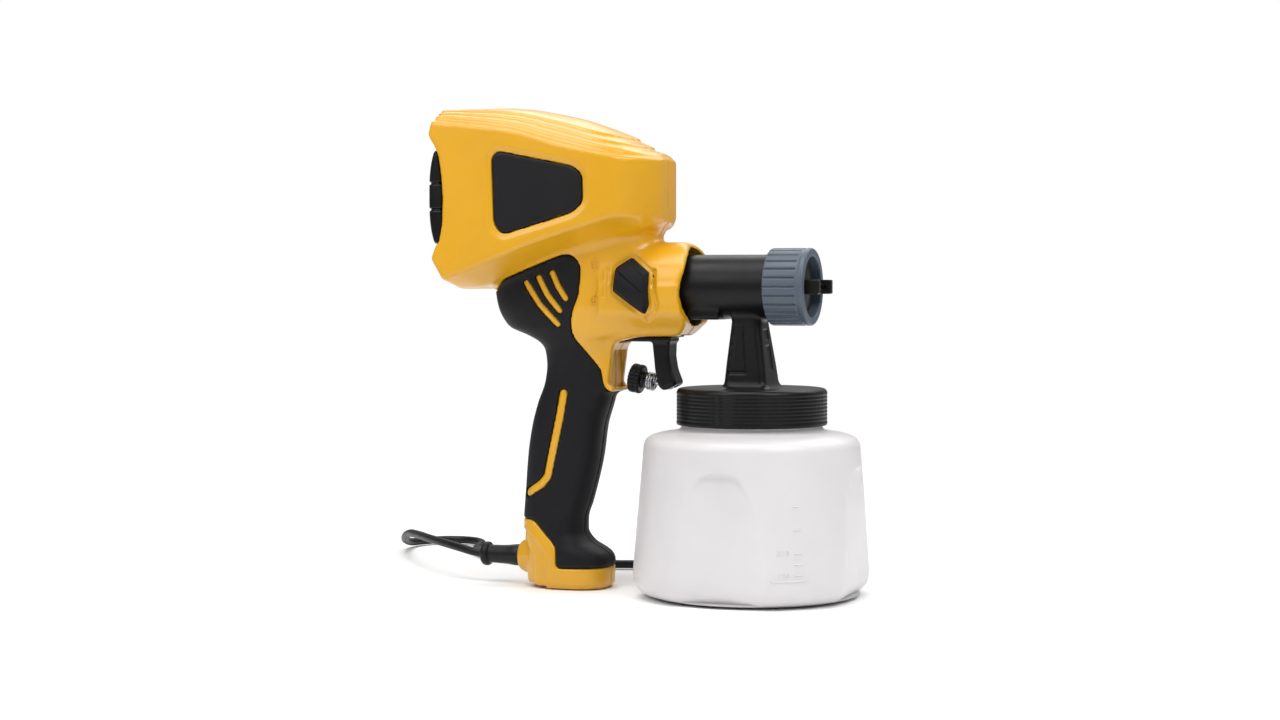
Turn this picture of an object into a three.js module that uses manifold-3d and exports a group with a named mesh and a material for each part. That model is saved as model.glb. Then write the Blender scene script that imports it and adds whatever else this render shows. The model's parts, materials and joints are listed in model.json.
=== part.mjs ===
// Hand-held electric turbine paint sprayer, in millimetres, +Z up.
// The drawing is made about a datum below the handle: X runs with the spray, Y = 0 is the split
// plane of the housing, Z = 0 is the table. At the end the whole group is moved along X, so that
// its origin is the bottom centre of the sprayer's own box.
import * as THREE from 'three';
import { mergeVertices } from 'three/addons/utils/BufferGeometryUtils.js';
import Module from 'manifold-3d';

const wasm = await Module();
wasm.setup();

// ---- driving dimensions ----
const GAP = 0.3;                 // clearance between touching pieces
const WALL = 2.4;                // moulded wall
const SKIN = 2.0;                // rubber overmould thickness
const HALF_SPLIT = 0.15;         // half the gap between the two housing shells

const AXIS_Z = 160.5;            // barrel axis height
const BARREL_R = 16.7;
const BARREL_REAR = -2;
const BARREL_FRONT = 84.5;
const SHROUD_R = 23.5;
const SHROUD_BORE_R = 20.5;

const CUP_X = 62.2;              // cup and lid axis
const CUP_R = 62.3;
const CUP_PANEL = 57.1;          // distance of the cup's four flat panels from its axis
const CUP_NECK_R = 36.6;
const CUP_WALL = 1.4;
const LID_R = 39.3;
const LID_Z = [88.7, 108];

const REAR_X = -109;             // rearmost point of the intake cover
const COVER_Z = [182.8, 232.6];
const NOTCH_X = -96;             // front edge of the notch that takes the intake cover

const MOTOR_Z = 212;             // motor axis height
const PIVOT = [20, 179];         // trigger pin, X and Z
const KNOB_TILT = 10;            // degrees the flow screw points down at its front
const LEAD_Z = 15;               // height at which the mains lead leaves the foot
const CORD_R = 2.3;
const COIL = { x: 24, y: 118, r: 27.6, layers: 3, turns: 3 };

const CENTRE_X = (CUP_X + CUP_PANEL + REAR_X) / 2;

// ---- materials ----
const material = (color, roughness, metalness = 0) =>
  new THREE.MeshStandardMaterial({ color, roughness, metalness });
const yellowPlastic = material(0xf3b028, 0.5);
const blackRubber = material(0x24262c, 0.75);
const blackPlastic = material(0x191a1c, 0.45);
const greyPlastic = material(0x5e6b77, 0.5);
const cupPlastic = material(0xece9ec, 0.35);
const whitePlastic = material(0xd9d6cf, 0.5);
const steel = material(0xb9bcc0, 0.3, 1);
const electricalSteel = material(0x6f7276, 0.45, 1);
const copper = material(0xb06a38, 0.4, 1);
const brass = material(0xc0a050, 0.3, 1);
const foam = material(0x33363a, 0.95);

// ---- solids ----
const v3 = (p) => new THREE.Vector3(...p);

function signedVolume(p, t) {
  let sum = 0;
  for (let i = 0; i < t.length; i += 3) {
    const [a, b, c] = [t[i] * 3, t[i + 1] * 3, t[i + 2] * 3];
    sum += p[a] * (p[b + 1] * p[c + 2] - p[b + 2] * p[c + 1]);
    sum += p[a + 1] * (p[b + 2] * p[c] - p[b] * p[c + 2]);
    sum += p[a + 2] * (p[b] * p[c + 1] - p[b + 1] * p[c]);
  }
  return sum / 6;
}

// A closed geometry becomes a manifold solid with its faces pointing out.
function solid(source) {
  const bare = source.clone();
  bare.deleteAttribute('normal');
  bare.deleteAttribute('uv');
  const merged = mergeVertices(bare, 1e-4);
  const vertProperties = new Float32Array(merged.attributes.position.array);
  const kept = [];
  const index = merged.index.array;
  for (let i = 0; i < index.length; i += 3) {
    const [a, b, c] = [index[i], index[i + 1], index[i + 2]];
    if (a !== b && b !== c && a !== c) kept.push(a, b, c);
  }
  const triVerts = new Uint32Array(kept);
  if (signedVolume(vertProperties, triVerts) < 0) {
    for (let i = 0; i < triVerts.length; i += 3) {
      [triVerts[i + 1], triVerts[i + 2]] = [triVerts[i + 2], triVerts[i + 1]];
    }
  }
  return new wasm.Manifold(new wasm.Mesh({ numProp: 3, vertProperties, triVerts }));
}

function geometryOf(manifold) {
  const mesh = manifold.getMesh();
  const geometry = new THREE.BufferGeometry();
  geometry.setAttribute('position', new THREE.BufferAttribute(mesh.vertProperties, 3));
  geometry.setIndex(new THREE.BufferAttribute(mesh.triVerts, 1));
  geometry.computeVertexNormals();
  return geometry;
}

const join = (...parts) => parts.reduce((a, b) => a.add(b));
const cut = (body, ...tools) => tools.reduce((a, b) => a.subtract(b), body);

function box(x0, x1, y0, y1, z0, z1) {
  const g = new THREE.BoxGeometry(x1 - x0, y1 - y0, z1 - z0);
  return solid(g.translate((x0 + x1) / 2, (y0 + y1) / 2, (z0 + z1) / 2));
}

function rodGeometry(r, from, to, sides = 24, r2 = r) {
  const a = v3(from);
  const b = v3(to);
  const g = new THREE.CylinderGeometry(r2, r, a.distanceTo(b), sides);
  const turn = new THREE.Quaternion().setFromUnitVectors(
    new THREE.Vector3(0, 1, 0), b.clone().sub(a).normalize());
  g.applyQuaternion(turn);
  const mid = a.add(b).multiplyScalar(0.5);
  return g.translate(mid.x, mid.y, mid.z);
}
const rod = (...args) => solid(rodGeometry(...args));
const rodX = (r, x0, x1, y, z, sides) => rod(r, [x0, y, z], [x1, y, z], sides);
const rodY = (r, y0, y1, x, z, sides) => rod(r, [x, y0, z], [x, y1, z], sides);
const rodZ = (r, z0, z1, x, y, sides) => rod(r, [x, y, z0], [x, y, z1], sides);

function lathe(profile, sides) {
  return new THREE.LatheGeometry(profile.map(([r, h]) => new THREE.Vector2(r, h)), sides);
}
// Profiles are [radius, place along the axis].
function turnedX(profile, y, z, sides = 32) {
  return solid(lathe(profile, sides).rotateZ(-Math.PI / 2).translate(0, y, z));
}
function turnedZ(profile, x, y, sides = 32) {
  return solid(lathe(profile, sides).rotateX(Math.PI / 2).translate(x, y, 0));
}
// Closed ring profile about the X axis.
const ringX = (r0, r1, x0, x1, y, z, sides) =>
  turnedX([[r0, x0], [r1, x0], [r1, x1], [r0, x1], [r0, x0]], y, z, sides);
const ringZ = (r0, r1, z0, z1, x, y, sides) =>
  turnedZ([[r0, z0], [r1, z0], [r1, z1], [r0, z1], [r0, z0]], x, y, sides);

// An outline in the XZ plane, extruded along Y.
function prismY(outline, y0, y1) {
  const shape = new THREE.Shape(outline.map(([x, z]) => new THREE.Vector2(x, z)));
  const g = new THREE.ExtrudeGeometry(shape, { depth: y1 - y0, bevelEnabled: false });
  return solid(g.rotateX(Math.PI / 2).translate(0, y1, 0));
}
// An outline in the XY plane, extruded along Z.
function prismZ(outline, z0, z1) {
  const shape = new THREE.Shape(outline.map(([x, y]) => new THREE.Vector2(x, y)));
  const g = new THREE.ExtrudeGeometry(shape, { depth: z1 - z0, bevelEnabled: false });
  return solid(g.translate(0, 0, z0));
}

// Skin over rings of equal point count, with a fan closing each end.
function loft(rings) {
  const n = rings[0].length;
  const points = rings.flat();
  const middle = (ring) => ring.reduce((s, p) => s.map((v, k) => v + p[k] / n), [0, 0, 0]);
  points.push(middle(rings[0]), middle(rings.at(-1)));
  const index = [];
  for (let r = 0; r < rings.length - 1; r++) {
    for (let i = 0; i < n; i++) {
      const j = (i + 1) % n;
      const [a, b, c, d] = [r * n + i, r * n + j, (r + 1) * n + j, (r + 1) * n + i];
      index.push(a, b, c, a, c, d);
    }
  }
  const last = (rings.length - 1) * n;
  for (let i = 0; i < n; i++) {
    const j = (i + 1) % n;
    index.push(points.length - 2, j, i);
    index.push(points.length - 1, last + i, last + j);
  }
  const g = new THREE.BufferGeometry();
  g.setAttribute('position', new THREE.Float32BufferAttribute(points.flat(), 3));
  g.setIndex(index);
  return solid(g);
}

// Smooth monotone curve through [place, value] pairs.
function through(pairs) {
  const xs = pairs.map((p) => p[0]);
  const ys = pairs.map((p) => p[1]);
  const slopes = xs.slice(1).map((x, i) => (ys[i + 1] - ys[i]) / (x - xs[i]));
  const tangents = xs.map((x, i) => {
    if (i === 0) return slopes[0];
    if (i === xs.length - 1) return slopes.at(-1);
    const [a, b] = [slopes[i - 1], slopes[i]];
    return a * b <= 0 ? 0 : (2 * a * b) / (a + b);
  });
  return (x) => {
    if (x <= xs[0]) return ys[0];
    if (x >= xs.at(-1)) return ys.at(-1);
    const i = xs.findIndex((v) => v > x) - 1;
    const h = xs[i + 1] - xs[i];
    const t = (x - xs[i]) / h;
    const [t2, t3] = [t * t, t * t * t];
    return (2 * t3 - 3 * t2 + 1) * ys[i] + (t3 - 2 * t2 + t) * h * tangents[i]
      + (3 * t2 - 2 * t3) * ys[i + 1] + (t3 - t2) * h * tangents[i + 1];
  };
}

// Outline moved inwards by d (outwards if negative), for a counter-clockwise outline.
function inset(outline, d) {
  const n = outline.length;
  return outline.map((p, i) => {
    const a = outline[(i + n - 1) % n];
    const b = outline[(i + 1) % n];
    const e1 = new THREE.Vector2(p[0] - a[0], p[1] - a[1]).normalize();
    const e2 = new THREE.Vector2(b[0] - p[0], b[1] - p[1]).normalize();
    const m = new THREE.Vector2(-e1.y - e2.y, e1.x + e2.x).normalize();
    const k = d / Math.max(0.5, m.dot(new THREE.Vector2(-e1.y, e1.x)));
    return [p[0] + m.x * k, p[1] + m.y * k];
  });
}

// A round bar along a hand-placed route.
function tubeAlong(points, r, steps, sides = 8) {
  const curve = new THREE.CatmullRomCurve3(points.map(v3), false, 'centripetal');
  const section = new THREE.Shape();
  section.absarc(0, 0, r, 0, Math.PI * 2, false);
  const round = new THREE.Shape(section.getSpacedPoints(sides).slice(0, sides));
  return new THREE.ExtrudeGeometry(round, { steps, extrudePath: curve });
}

// ---- the scene graph ----
const sprayer = new THREE.Group();
sprayer.position.x = -CENTRE_X;

function piece(name, shape, finish) {
  const geometry = shape.isBufferGeometry ? shape : geometryOf(shape);
  const mesh = new THREE.Mesh(geometry, finish);
  mesh.name = name;
  sprayer.add(mesh);
}

// ---- housing body: the motor casing ----
const casing = {
  side: through([[-104, 247.8], [-58.6, 242.5], [-31, 235], [2, 227.8], [17, 226.6]]),
  crown: through([[-104, 255], [-72, 255.6], [-35, 250], [-11, 243.6], [5.6, 234], [14, 227.9],
    [17, 226.9]]),
  lower: through([[-104, 161], [-95.5, 164], [-74.5, 171.8], [-40, 185], [-17, 191.9],
    [3, 197.2], [17, 196.5]]),
  width: through([[-104, 42.6], [-70, 43.4], [-30, 41], [-10, 37], [4, 31], [10, 26],
    [15, 18.5], [17, 13]]),
  drop: through([[-104, 3], [-90, 6.5], [-78, 9.5], [0, 9], [12, 5], [17, 2]]),
};
const CASING_STATIONS = [-104, -86, -72, -58, -44, -31, -20, -10, -3, 4, 8.5, 12, 14.5, 16, 17];
const NECK_HALF = 22;

function casingSection(x, t) {
  const w = casing.width(x) - t;
  const low = casing.lower(x) + t * 0.7;
  const side = casing.side(x) - t;
  const crown = casing.crown(x) - t;
  const hood = Math.min(4, Math.max(0.2, (crown - side) * 0.45));
  const base = casing.lower(x) - casing.drop(x) + t;
  const half = [
    [Math.min(NECK_HALF, w - 4), base], [w - 1.4, low - 0.4], [w, low + 1.2],
    [w, side - 1.6], [w - 1.6, side], [w - 4.5, side + hood * 0.15], [w - 6, side + hood],
  ];
  for (const f of [0.66, 0.33]) {
    half.push([(w - 6) * f, crown + (side + hood - crown) * f * f]);
  }
  const mirrored = half.map(([y, z]) => [x, -y, z]).reverse();
  return [...half.map(([y, z]) => [x, y, z]), [x, 0, crown], ...mirrored];
}
function casingBody(t, stations = CASING_STATIONS) {
  const [first, last] = [CASING_STATIONS[0] + 4 * t, CASING_STATIONS.at(-1) - t];
  const inner = stations.filter((x) => x > first && x < last);
  return loft([first, ...inner, last].map((x) => casingSection(x, t)));
}

// ---- housing body: handle with its rear web, neck and foot ----
const handle = {
  rear: through([[0, -62.6], [2.2, -64.2], [9, -64.9], [20, -64.8], [37, -64.2], [52, -63.2],
    [69, -62], [85, -59.6], [98, -56.2], [110, -51.8], [119, -50.6], [127, -51.6], [131, -54.6],
    [134.4, -61], [139.5, -73], [150, -79], [158, -80.4], [166, -80.6], [184, -74]]),
  front: through([[0, -17.8], [2.2, -16.4], [14, -16.2], [17.5, -17.4], [20, -20.6],
    [24, -28], [30, -31.9], [37, -31.6], [44.6, -29], [56, -25.7], [69, -22.6], [87, -20],
    [104.5, -15.4], [118, -15], [131, -12], [137, 6], [150, 9], [184, 10.8], [191, 12.5]]),
  width: through([[0, 17.2], [2.2, 18.9], [12, 19], [24, 18], [37, 16.6], [56, 16.4], [87, 16.6],
    [110, 16.2], [127, 17.4], [139.5, 21], [152, 23], [184, 23.2], [191, 22]]),
};
const HANDLE_STATIONS = [0, 2.2, 15, 20, 24, 30, 37, 50, 69, 87, 104, 119, 127, 131, 134.4, 137,
  142, 150, 160, 184, 191];
const SECTION_POINTS = 18;

function handleSection(z, t, power) {
  const a = (handle.front(z) - handle.rear(z)) / 2 - t;
  const b = handle.width(z) - t;
  const mid = (handle.front(z) + handle.rear(z)) / 2;
  const ring = [];
  for (let i = 0; i < SECTION_POINTS; i++) {
    const s = ((i + 0.5) / SECTION_POINTS) * Math.PI * 2;
    const [c, k] = [Math.cos(s), Math.sin(s)];
    const x = Math.sign(c) * Math.abs(c) ** (2 / power) * a;
    const y = Math.sign(k) * Math.abs(k) ** (2 / power) * b;
    ring.push([mid + x, y, z]);
  }
  return ring;
}
function handleBody(t, stations = HANDLE_STATIONS) {
  const above = stations.filter((z) => z > 1.5 * t);
  return loft([t, ...above].map((z) => handleSection(z, t, 2.7)));
}

// ---- housing body: shroud round the barrel root, and the finger hook ----
function shroudBody(r, x0, x1) {
  const drop = r + 2.5;
  const flat = 13;
  const ring = [];
  for (let i = 0; i <= 16; i++) {
    const s = -Math.PI * 0.17 + (Math.PI * 1.34 * i) / 16;
    ring.push([Math.cos(s) * r, AXIS_Z + Math.sin(s) * r]);
  }
  ring.push([-flat, AXIS_Z - drop], [flat, AXIS_Z - drop]);
  return loft([x0, x1].map((x) => ring.map(([y, z]) => [x, y, z])));
}
const SHROUD_SIDE = [[-14, 130], [25.7, 134], [32.3, 142], [30.7, 147], [29.7, 152.1], [29.4, 158],
  [30, 162.3], [32, 170.4], [31.7, 177.1], [30.2, 180.7], [27.5, 183.6], [24, 184.6], [-14, 184.6]];
const HOOK_SIDE = [[-30, 104.9], [-10.4, 104.9], [-10.4, 106.4], [-13.4, 109.6], [-11, 128],
  [-9, 132.5], [-2, 135], [-30, 140]];

function frontBody() {
  const shroud = shroudBody(SHROUD_R, -14, 38).intersect(prismY(SHROUD_SIDE, -30, 30));
  const hook = prismY(HOOK_SIDE, -13, 13);
  const channel = prismY([[-13.6, 107.6], [-8, 105], [-8, 127], [-13.6, 127]], -8.5, 8.5);
  return join(shroud, cut(hook, channel));
}

// Round collar on the foot, where the mains lead's strain relief comes out.
const leadCollar = turnedX([[0, -58], [8.6, -58], [8.6, -66.6], [7.2, -68.4], [0, -68.4]],
  0, LEAD_Z, 20);

// The casing's rear end and its notch, seen from the side.
const REAR_TRIM = [[-115, 262], [-101, 262], [-101.7, 247.6], [-103.9, 240.5],
  [NOTCH_X - 3.4, 233], [NOTCH_X, 232.8], [NOTCH_X, 182.6], [NOTCH_X - 3.4, 182.4],
  [-102.3, 175.3], [-95.4, 164], [-93, 155], [-115, 155]];

function outerBody() {
  const body = cut(casingBody(0), prismY(REAR_TRIM, -50, 50));
  return join(body, handleBody(0), frontBody(), leadCollar);
}
const OUTER = outerBody();

// ---- overmould ----
const GRIP_OUTLINE = [[-96, 36.4], [-56.7, 36.2], [-53.7, 35], [-43.4, 24.3], [-41.5, 21.6],
  [-41, 12.4], [-39.5, 11], [-4, 11], [-4, 104.4], [-13, 105.2], [-15.6, 108.2], [-16.6, 112],
  [-17.2, 116.8], [-25.2, 127.5], [-29.4, 132.6], [-31, 137.4], [-31, 142.6], [-29.2, 149],
  [-26.2, 156.2], [-25.2, 165.3], [-24.9, 171], [-26.4, 174.4], [-29.2, 176.9], [-33, 177.7],
  [-37.4, 176.6], [-52.7, 171], [-70.4, 164.3], [-77.4, 158.6], [-96, 158.4]];
const grip = OUTER.intersect(prismY(inset(GRIP_OUTLINE, GAP), -30, 30));
const gripCore = join(handleBody(SKIN), box(-24, 30, -12, 12, 105, 170));
const overmould = cut(grip, gripCore);
const gripPocket = cut(prismY(GRIP_OUTLINE, -40, 40), handleBody(SKIN + GAP),
  box(-24 + GAP, 30, -12 + GAP, 12 - GAP, 105, 170));

// ---- badges ----
const BADGE_OUTLINE = [[-62, 188], [-21, 199.4], [-16.6, 204.6], [-17, 218], [-21.4, 222.6],
  [-62.6, 231.4], [-66.4, 228.4], [-65.6, 191.4]];
function badge(side) {
  const slab = prismY(inset(BADGE_OUTLINE, GAP), -50, 50).intersect(OUTER);
  return cut(slab, casingBody(1.4), side < 0 ? box(-90, 0, 0, 60, 150, 250)
    : box(-90, 0, -60, 0, 150, 250));
}
const badgePockets = cut(prismY(BADGE_OUTLINE, -60, 60), casingBody(1.4 + GAP));

// ---- fasteners ----
const SCREWS = [[-93, 242], [-90, 174], [8, 214], [-66, 152], [-33, 166], [-42, 98],
  [-46, 60], [-40, 20]];
const SCREW_HEAD_R = 3;
const SCREW_SHANK_R = 1.4;
const screwSeat = (x, z) => {
  const w = z > 180 ? casing.width(x) : handle.width(z);
  return w - 7;
};
function screw(x, z) {
  const y = screwSeat(x, z);
  const head = rodY(SCREW_HEAD_R, y + GAP, y + 2.6, x, z, 12);
  const slot = box(x - 0.5, x + 0.5, y + 1.6, y + 3, z - 2.2, z + 2.2);
  return join(cut(head, slot), rodY(SCREW_SHANK_R, -8, y + 1, x, z, 8));
}
const screwBosses = SCREWS.map(([x, z]) => rodY(4.6, -60, 60, x, z, 8));
const screwHoles = SCREWS.map(([x, z]) => {
  const y = screwSeat(x, z);
  return join(rodY(SCREW_SHANK_R + 0.4, -9, y + 1, x, z, 8),
    rodY(SCREW_HEAD_R + 0.5, y, 60, x, z, 12));
});

// ---- housing shells ----
function cavity() {
  const deep = SKIN + GAP + WALL;
  const throat = join(
    loft([150, 200].map((z) => handleSection(z, deep, 2.7))),
    rodX(SHROUD_BORE_R, -8, 40, 0, AXIS_Z, 28),
    rodX(SHROUD_BORE_R - 2, -20, 0, 0, AXIS_Z, 28));
  const hollow = handleBody(deep, [0, 15, 24, 37, 69, 104, 127, 134.4, 142, 150, 184, 191]);
  return join(casingBody(WALL, [-86, -58, -31, -10, 4, 12]), hollow, throat);
}
const LOCK_SLOT = { x: [-1, 7], low: -36, high: 14 };   // degrees round the barrel from -Y

// A sector of a ring about the barrel axis, on the -Y side; angles rise towards +Z.
function barrelSector(r0, r1, x0, x1, low, high, steps = 10) {
  const at = (r, s) => [-Math.cos(s) * r, AXIS_Z + Math.sin(s) * r];
  const arc = (r) => Array.from({ length: steps + 1 }, (_, i) =>
    at(r, THREE.MathUtils.degToRad(low + ((high - low) * i) / steps)));
  const outline = [...arc(r0), ...arc(r1).reverse()];
  const shape = new THREE.Shape(outline.map(([y, z]) => new THREE.Vector2(y, z)));
  const g = new THREE.ExtrudeGeometry(shape, { depth: x1 - x0, bevelEnabled: false });
  const axes = new THREE.Matrix4().makeBasis(
    new THREE.Vector3(0, 1, 0), new THREE.Vector3(0, 0, 1), new THREE.Vector3(1, 0, 0));
  return solid(g.applyMatrix4(axes).translate(x0, 0, 0));
}

// The motor hangs in two ribs that stay when the casing is hollowed.
const RIB_T = 3;
const RIB_ABOVE = [180, 192];    // the ribs start above the neck
function motorRib(x, r, above) {
  const ring = ringX(r, 60, x, x + RIB_T, 0, MOTOR_Z, 16);
  return ring.intersect(box(x - 1, x + RIB_T + 1, -60, 60, above, 260));
}
// Cross wall behind the trigger's return spring.
const SPRING_SEAT_X = -5;
const springSeat = box(SPRING_SEAT_X - 2.4, SPRING_SEAT_X, -22, 22, 139, 146.4);

function triggerSlot() {
  const forPlate = box(-9.2, 26, -8.2, 8.2, 126, 146);
  const forHeel = box(-26, -6, -8.2, 8.2, 131.6, 142);
  return cut(join(forPlate, forHeel), springSeat);
}

function shells() {
  const bosses = screwBosses.reduce((a, b) => a.add(b));
  const ribs = join(motorRib(-52, 29.6, RIB_ABOVE[0]), motorRib(-16.2, 22.9, RIB_ABOVE[1]));
  const hollow = cut(cavity(), ribs, bosses, springSeat);
  const pinHole = rodY(1.2, -11.3, 11.3, PIVOT[0], PIVOT[1], 8);
  const earPocket = rodY(2.6, -5.6, 5.6, PIVOT[0], PIVOT[1], 10);
  const rearOpening = box(-100, -88, -34, 34, 187, 228.5);
  const leadHole = rodX(6.4, -72, -50, 0, LEAD_Z, 12);
  const capPocket = barrelSector(SHROUD_R + GAP, 32, -8.6, 15.4, -64, 44);
  const stemSlot = barrelSector(18, 32, ...LOCK_SLOT.x, LOCK_SLOT.low, LOCK_SLOT.high);
  return cut(OUTER, hollow, gripPocket, badgePockets, ...screwHoles, triggerSlot(), pinHole,
    earPocket, rearOpening, leadHole, capPocket, stemSlot);
}

const shellBody = shells();
const half = (side) => side < 0 ? box(-130, 60, -70, -HALF_SPLIT, -5, 270)
  : box(-130, 60, HALF_SPLIT, 70, -5, 270);
piece('right_housing_shell', shellBody.intersect(half(-1)), yellowPlastic);
piece('left_housing_shell', shellBody.intersect(half(1)), yellowPlastic);
const drilledGrip = cut(overmould, ...screwHoles);
piece('right_grip_overmould', drilledGrip.intersect(half(-1)), blackRubber);
piece('left_grip_overmould', drilledGrip.intersect(half(1)), blackRubber);
piece('right_badge', badge(-1), blackPlastic);
piece('left_badge', badge(1), blackPlastic);
SCREWS.forEach(([x, z], i) => piece(`housing_screw_${i + 1}`, screw(x, z), steel));

// ---- intake cover and filter ----
function intakeCover() {
  const [z0, z1] = COVER_Z;
  const back = (y, t) => REAR_X + t + (5.6 * y * y) / (42 * 42);
  const plan = (t) => {
    const rim = [];
    for (let i = 0; i <= 12; i++) {
      const y = -(42 - t) + ((84 - 2 * t) * i) / 12;
      rim.push([back(y, t), y]);
    }
    return [...rim, [NOTCH_X - GAP, 42.4 - t], [NOTCH_X - GAP, t - 42.4]];
  };
  const front = plan(WALL);
  front.at(-1)[0] += 2;
  front.at(-2)[0] += 2;
  const hollow = prismZ(front, z0 + WALL, z1 - WALL);
  const slots = [];
  for (let z = z0 + 6; z < z1 - 6; z += 6.8) slots.push(box(-115, -100.6, -33, 33, z, z + 3.2));
  const slanted = prismY([[-115, 177], [NOTCH_X - 4.4, z0], [NOTCH_X - 4.4, z0 - 2],
    [-115, 170]], -50, 50);
  return cut(prismZ(plan(0), z0, z1), hollow, slanted, ...slots);
}
piece('rear_intake_cover', intakeCover(), blackPlastic);
piece('intake_filter', box(-100.2, -96.6, -37, 37, 187.4, 228.2), foam);

// ---- motor and turbine ----
function motor() {
  const z = MOTOR_Z;
  const shaft = rodX(2.5, -84, -10, 0, z, 12);
  const hub = 2.5 + GAP;
  const rotor = ringX(hub, 12, -54, -30, 0, z, 16);
  const slots = [];
  for (let i = 0; i < 8; i++) {
    const a = (i * Math.PI) / 4;
    slots.push(rodX(1.5, -55, -29, Math.cos(a) * 11.2, z + Math.sin(a) * 11.2, 5));
  }
  const stator = cut(ringX(16, 25.6, -53, -31, 0, z, 20),
    box(-60, -20, -9, 9, z + 12, z + 21), box(-60, -20, -9, 9, z - 21, z - 12));
  piece('armature_shaft', shaft, steel);
  piece('rotor_core', cut(rotor, ...slots), electricalSteel);
  piece('commutator', ringX(hub, 8, -28, -21, 0, z, 14), copper);
  piece('stator_core', stator, electricalSteel);
  for (const [name, s] of [['upper', 1], ['lower', -1]]) {
    const pad = box(-57, -27, -8.6, 8.6, z + s * 17 - 3.4, z + s * 17 + 3.4);
    piece(`field_winding_${name}`, cut(pad, box(-52, -32, -4, 4, z - 30, z + 30)), copper);
  }
  piece('front_bearing', ringX(hub, 8, -16.4, -11.4, 0, z, 14), steel);
  piece('rear_bearing', ringX(hub, 8, -62.6, -58.4, 0, z, 14), steel);
  piece('front_motor_bracket', cut(ringX(8 + GAP, 22, -16.2, -13.2, 0, z, 18),
    ...[45, 135, 225, 315].map((d) => {
      const a = THREE.MathUtils.degToRad(d);
      return rodX(4, -17, -12, Math.cos(a) * 15, z + Math.sin(a) * 15, 6);
    })), blackPlastic);
  piece('motor_damper_ring', ringX(26, 28.4, -53.6, -46, 0, z, 20), blackRubber);
  for (const [name, s] of [['right', -1], ['left', 1]]) {
    const holder = s < 0 ? box(-27.4, -21.6, -19, -8.4, z - 3.4, z + 3.4)
      : box(-27.4, -21.6, 8.4, 19, z - 3.4, z + 3.4);
    piece(`${name}_brush_holder`, holder, brass);
  }
}
motor();

function turbine() {
  const z = MOTOR_Z;
  const disc = turnedX([[2.8, -80.4], [28, -80.4], [28, -79], [6, -78], [6, -72], [2.8, -72],
    [2.8, -80.4]], 0, z, 20);
  const blades = [];
  for (let i = 0; i < 9; i++) {
    const blade = new THREE.BoxGeometry(6, 19, 1.2).translate(0, 18, 0);
    blade.rotateX((i * Math.PI * 2) / 9 + 0.3).translate(-76, 0, z);
    blades.push(solid(blade));
  }
  piece('fan_wheel', join(disc, ...blades), whitePlastic);
  const drum = turnedX([[8.3, -64.4], [31, -64.4], [31, -84.4], [14, -84.4], [14, -82.8],
    [29.4, -82.8], [29.4, -66], [8.3, -66], [8.3, -64.4]], 0, z, 24);
  const vents = [];
  for (let i = 0; i < 6; i++) {
    const a = (i * Math.PI) / 3;
    vents.push(rodX(4, -67, -63, Math.cos(a) * 21, z + Math.sin(a) * 21, 6));
  }
  piece('turbine_housing', cut(drum, ...vents), blackPlastic);
}
turbine();

// Air from the motor's front end drops through the neck into the rear of the barrel.
function airDuct() {
  const bend = [[-5, 0, 199], [-5.4, 0, 191], [-9.4, 0, 180], [-9.4, 0, 168]];
  const outer = solid(tubeAlong(bend, 6.6, 5, 12));
  const shoe = rodX(13.8, -16.4, BARREL_REAR - GAP, 0, AXIS_Z, 20);
  const bore = solid(tubeAlong([[-5, 0, 203], ...bend, [-9.4, 0, 160]], 5.2, 6, 10));
  return cut(join(outer, shoe), bore, rodX(11.5, -14, 5, 0, AXIS_Z, 20));
}
piece('air_duct', airDuct(), blackPlastic);

// ---- switch, cord clamp, strain relief ----
piece('trigger_switch', cut(box(-45, -23.4, -6.5, 6.5, 112, 130),
  box(-36, -22, -3, 3, 122, 131)), blackPlastic);
function plunger() {
  const toe = box(-31, -24.6, -2.6, 2.6, 122.6, 127);
  const leg = box(-27.4, -24.6, -2.6, 2.6, 122.6, 136.6);
  const arm = box(-27.4, -9.1, -2.6, 2.6, 133.8, 136.6);
  return join(toe, leg, arm);
}
piece('switch_plunger', plunger(), whitePlastic);
const clamp = cut(box(-56, -48, -9, 9, 10.4, LEAD_Z),
  rodX(CORD_R + GAP, -60, -40, 0, LEAD_Z, 10));
piece('cord_clamp', clamp, blackPlastic);

function strainRelief() {
  const waists = [-75.4, -78.6, -81.8].flatMap((x) =>
    [[5.1, x + 0.9], [4.1, x + 0.8], [4.1, x - 0.8], [5.1, x - 0.9]]);
  return turnedX([[0, -59.6], [5, -59.6], [6, -60.4], [6, -71.6], [5.4, -73], ...waists,
    [4.8, -85.6], [6, -86], [6, -91.4], [0, -91.4]], 0, LEAD_Z, 14);
}
piece('strain_relief', strainRelief(), blackRubber);

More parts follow.
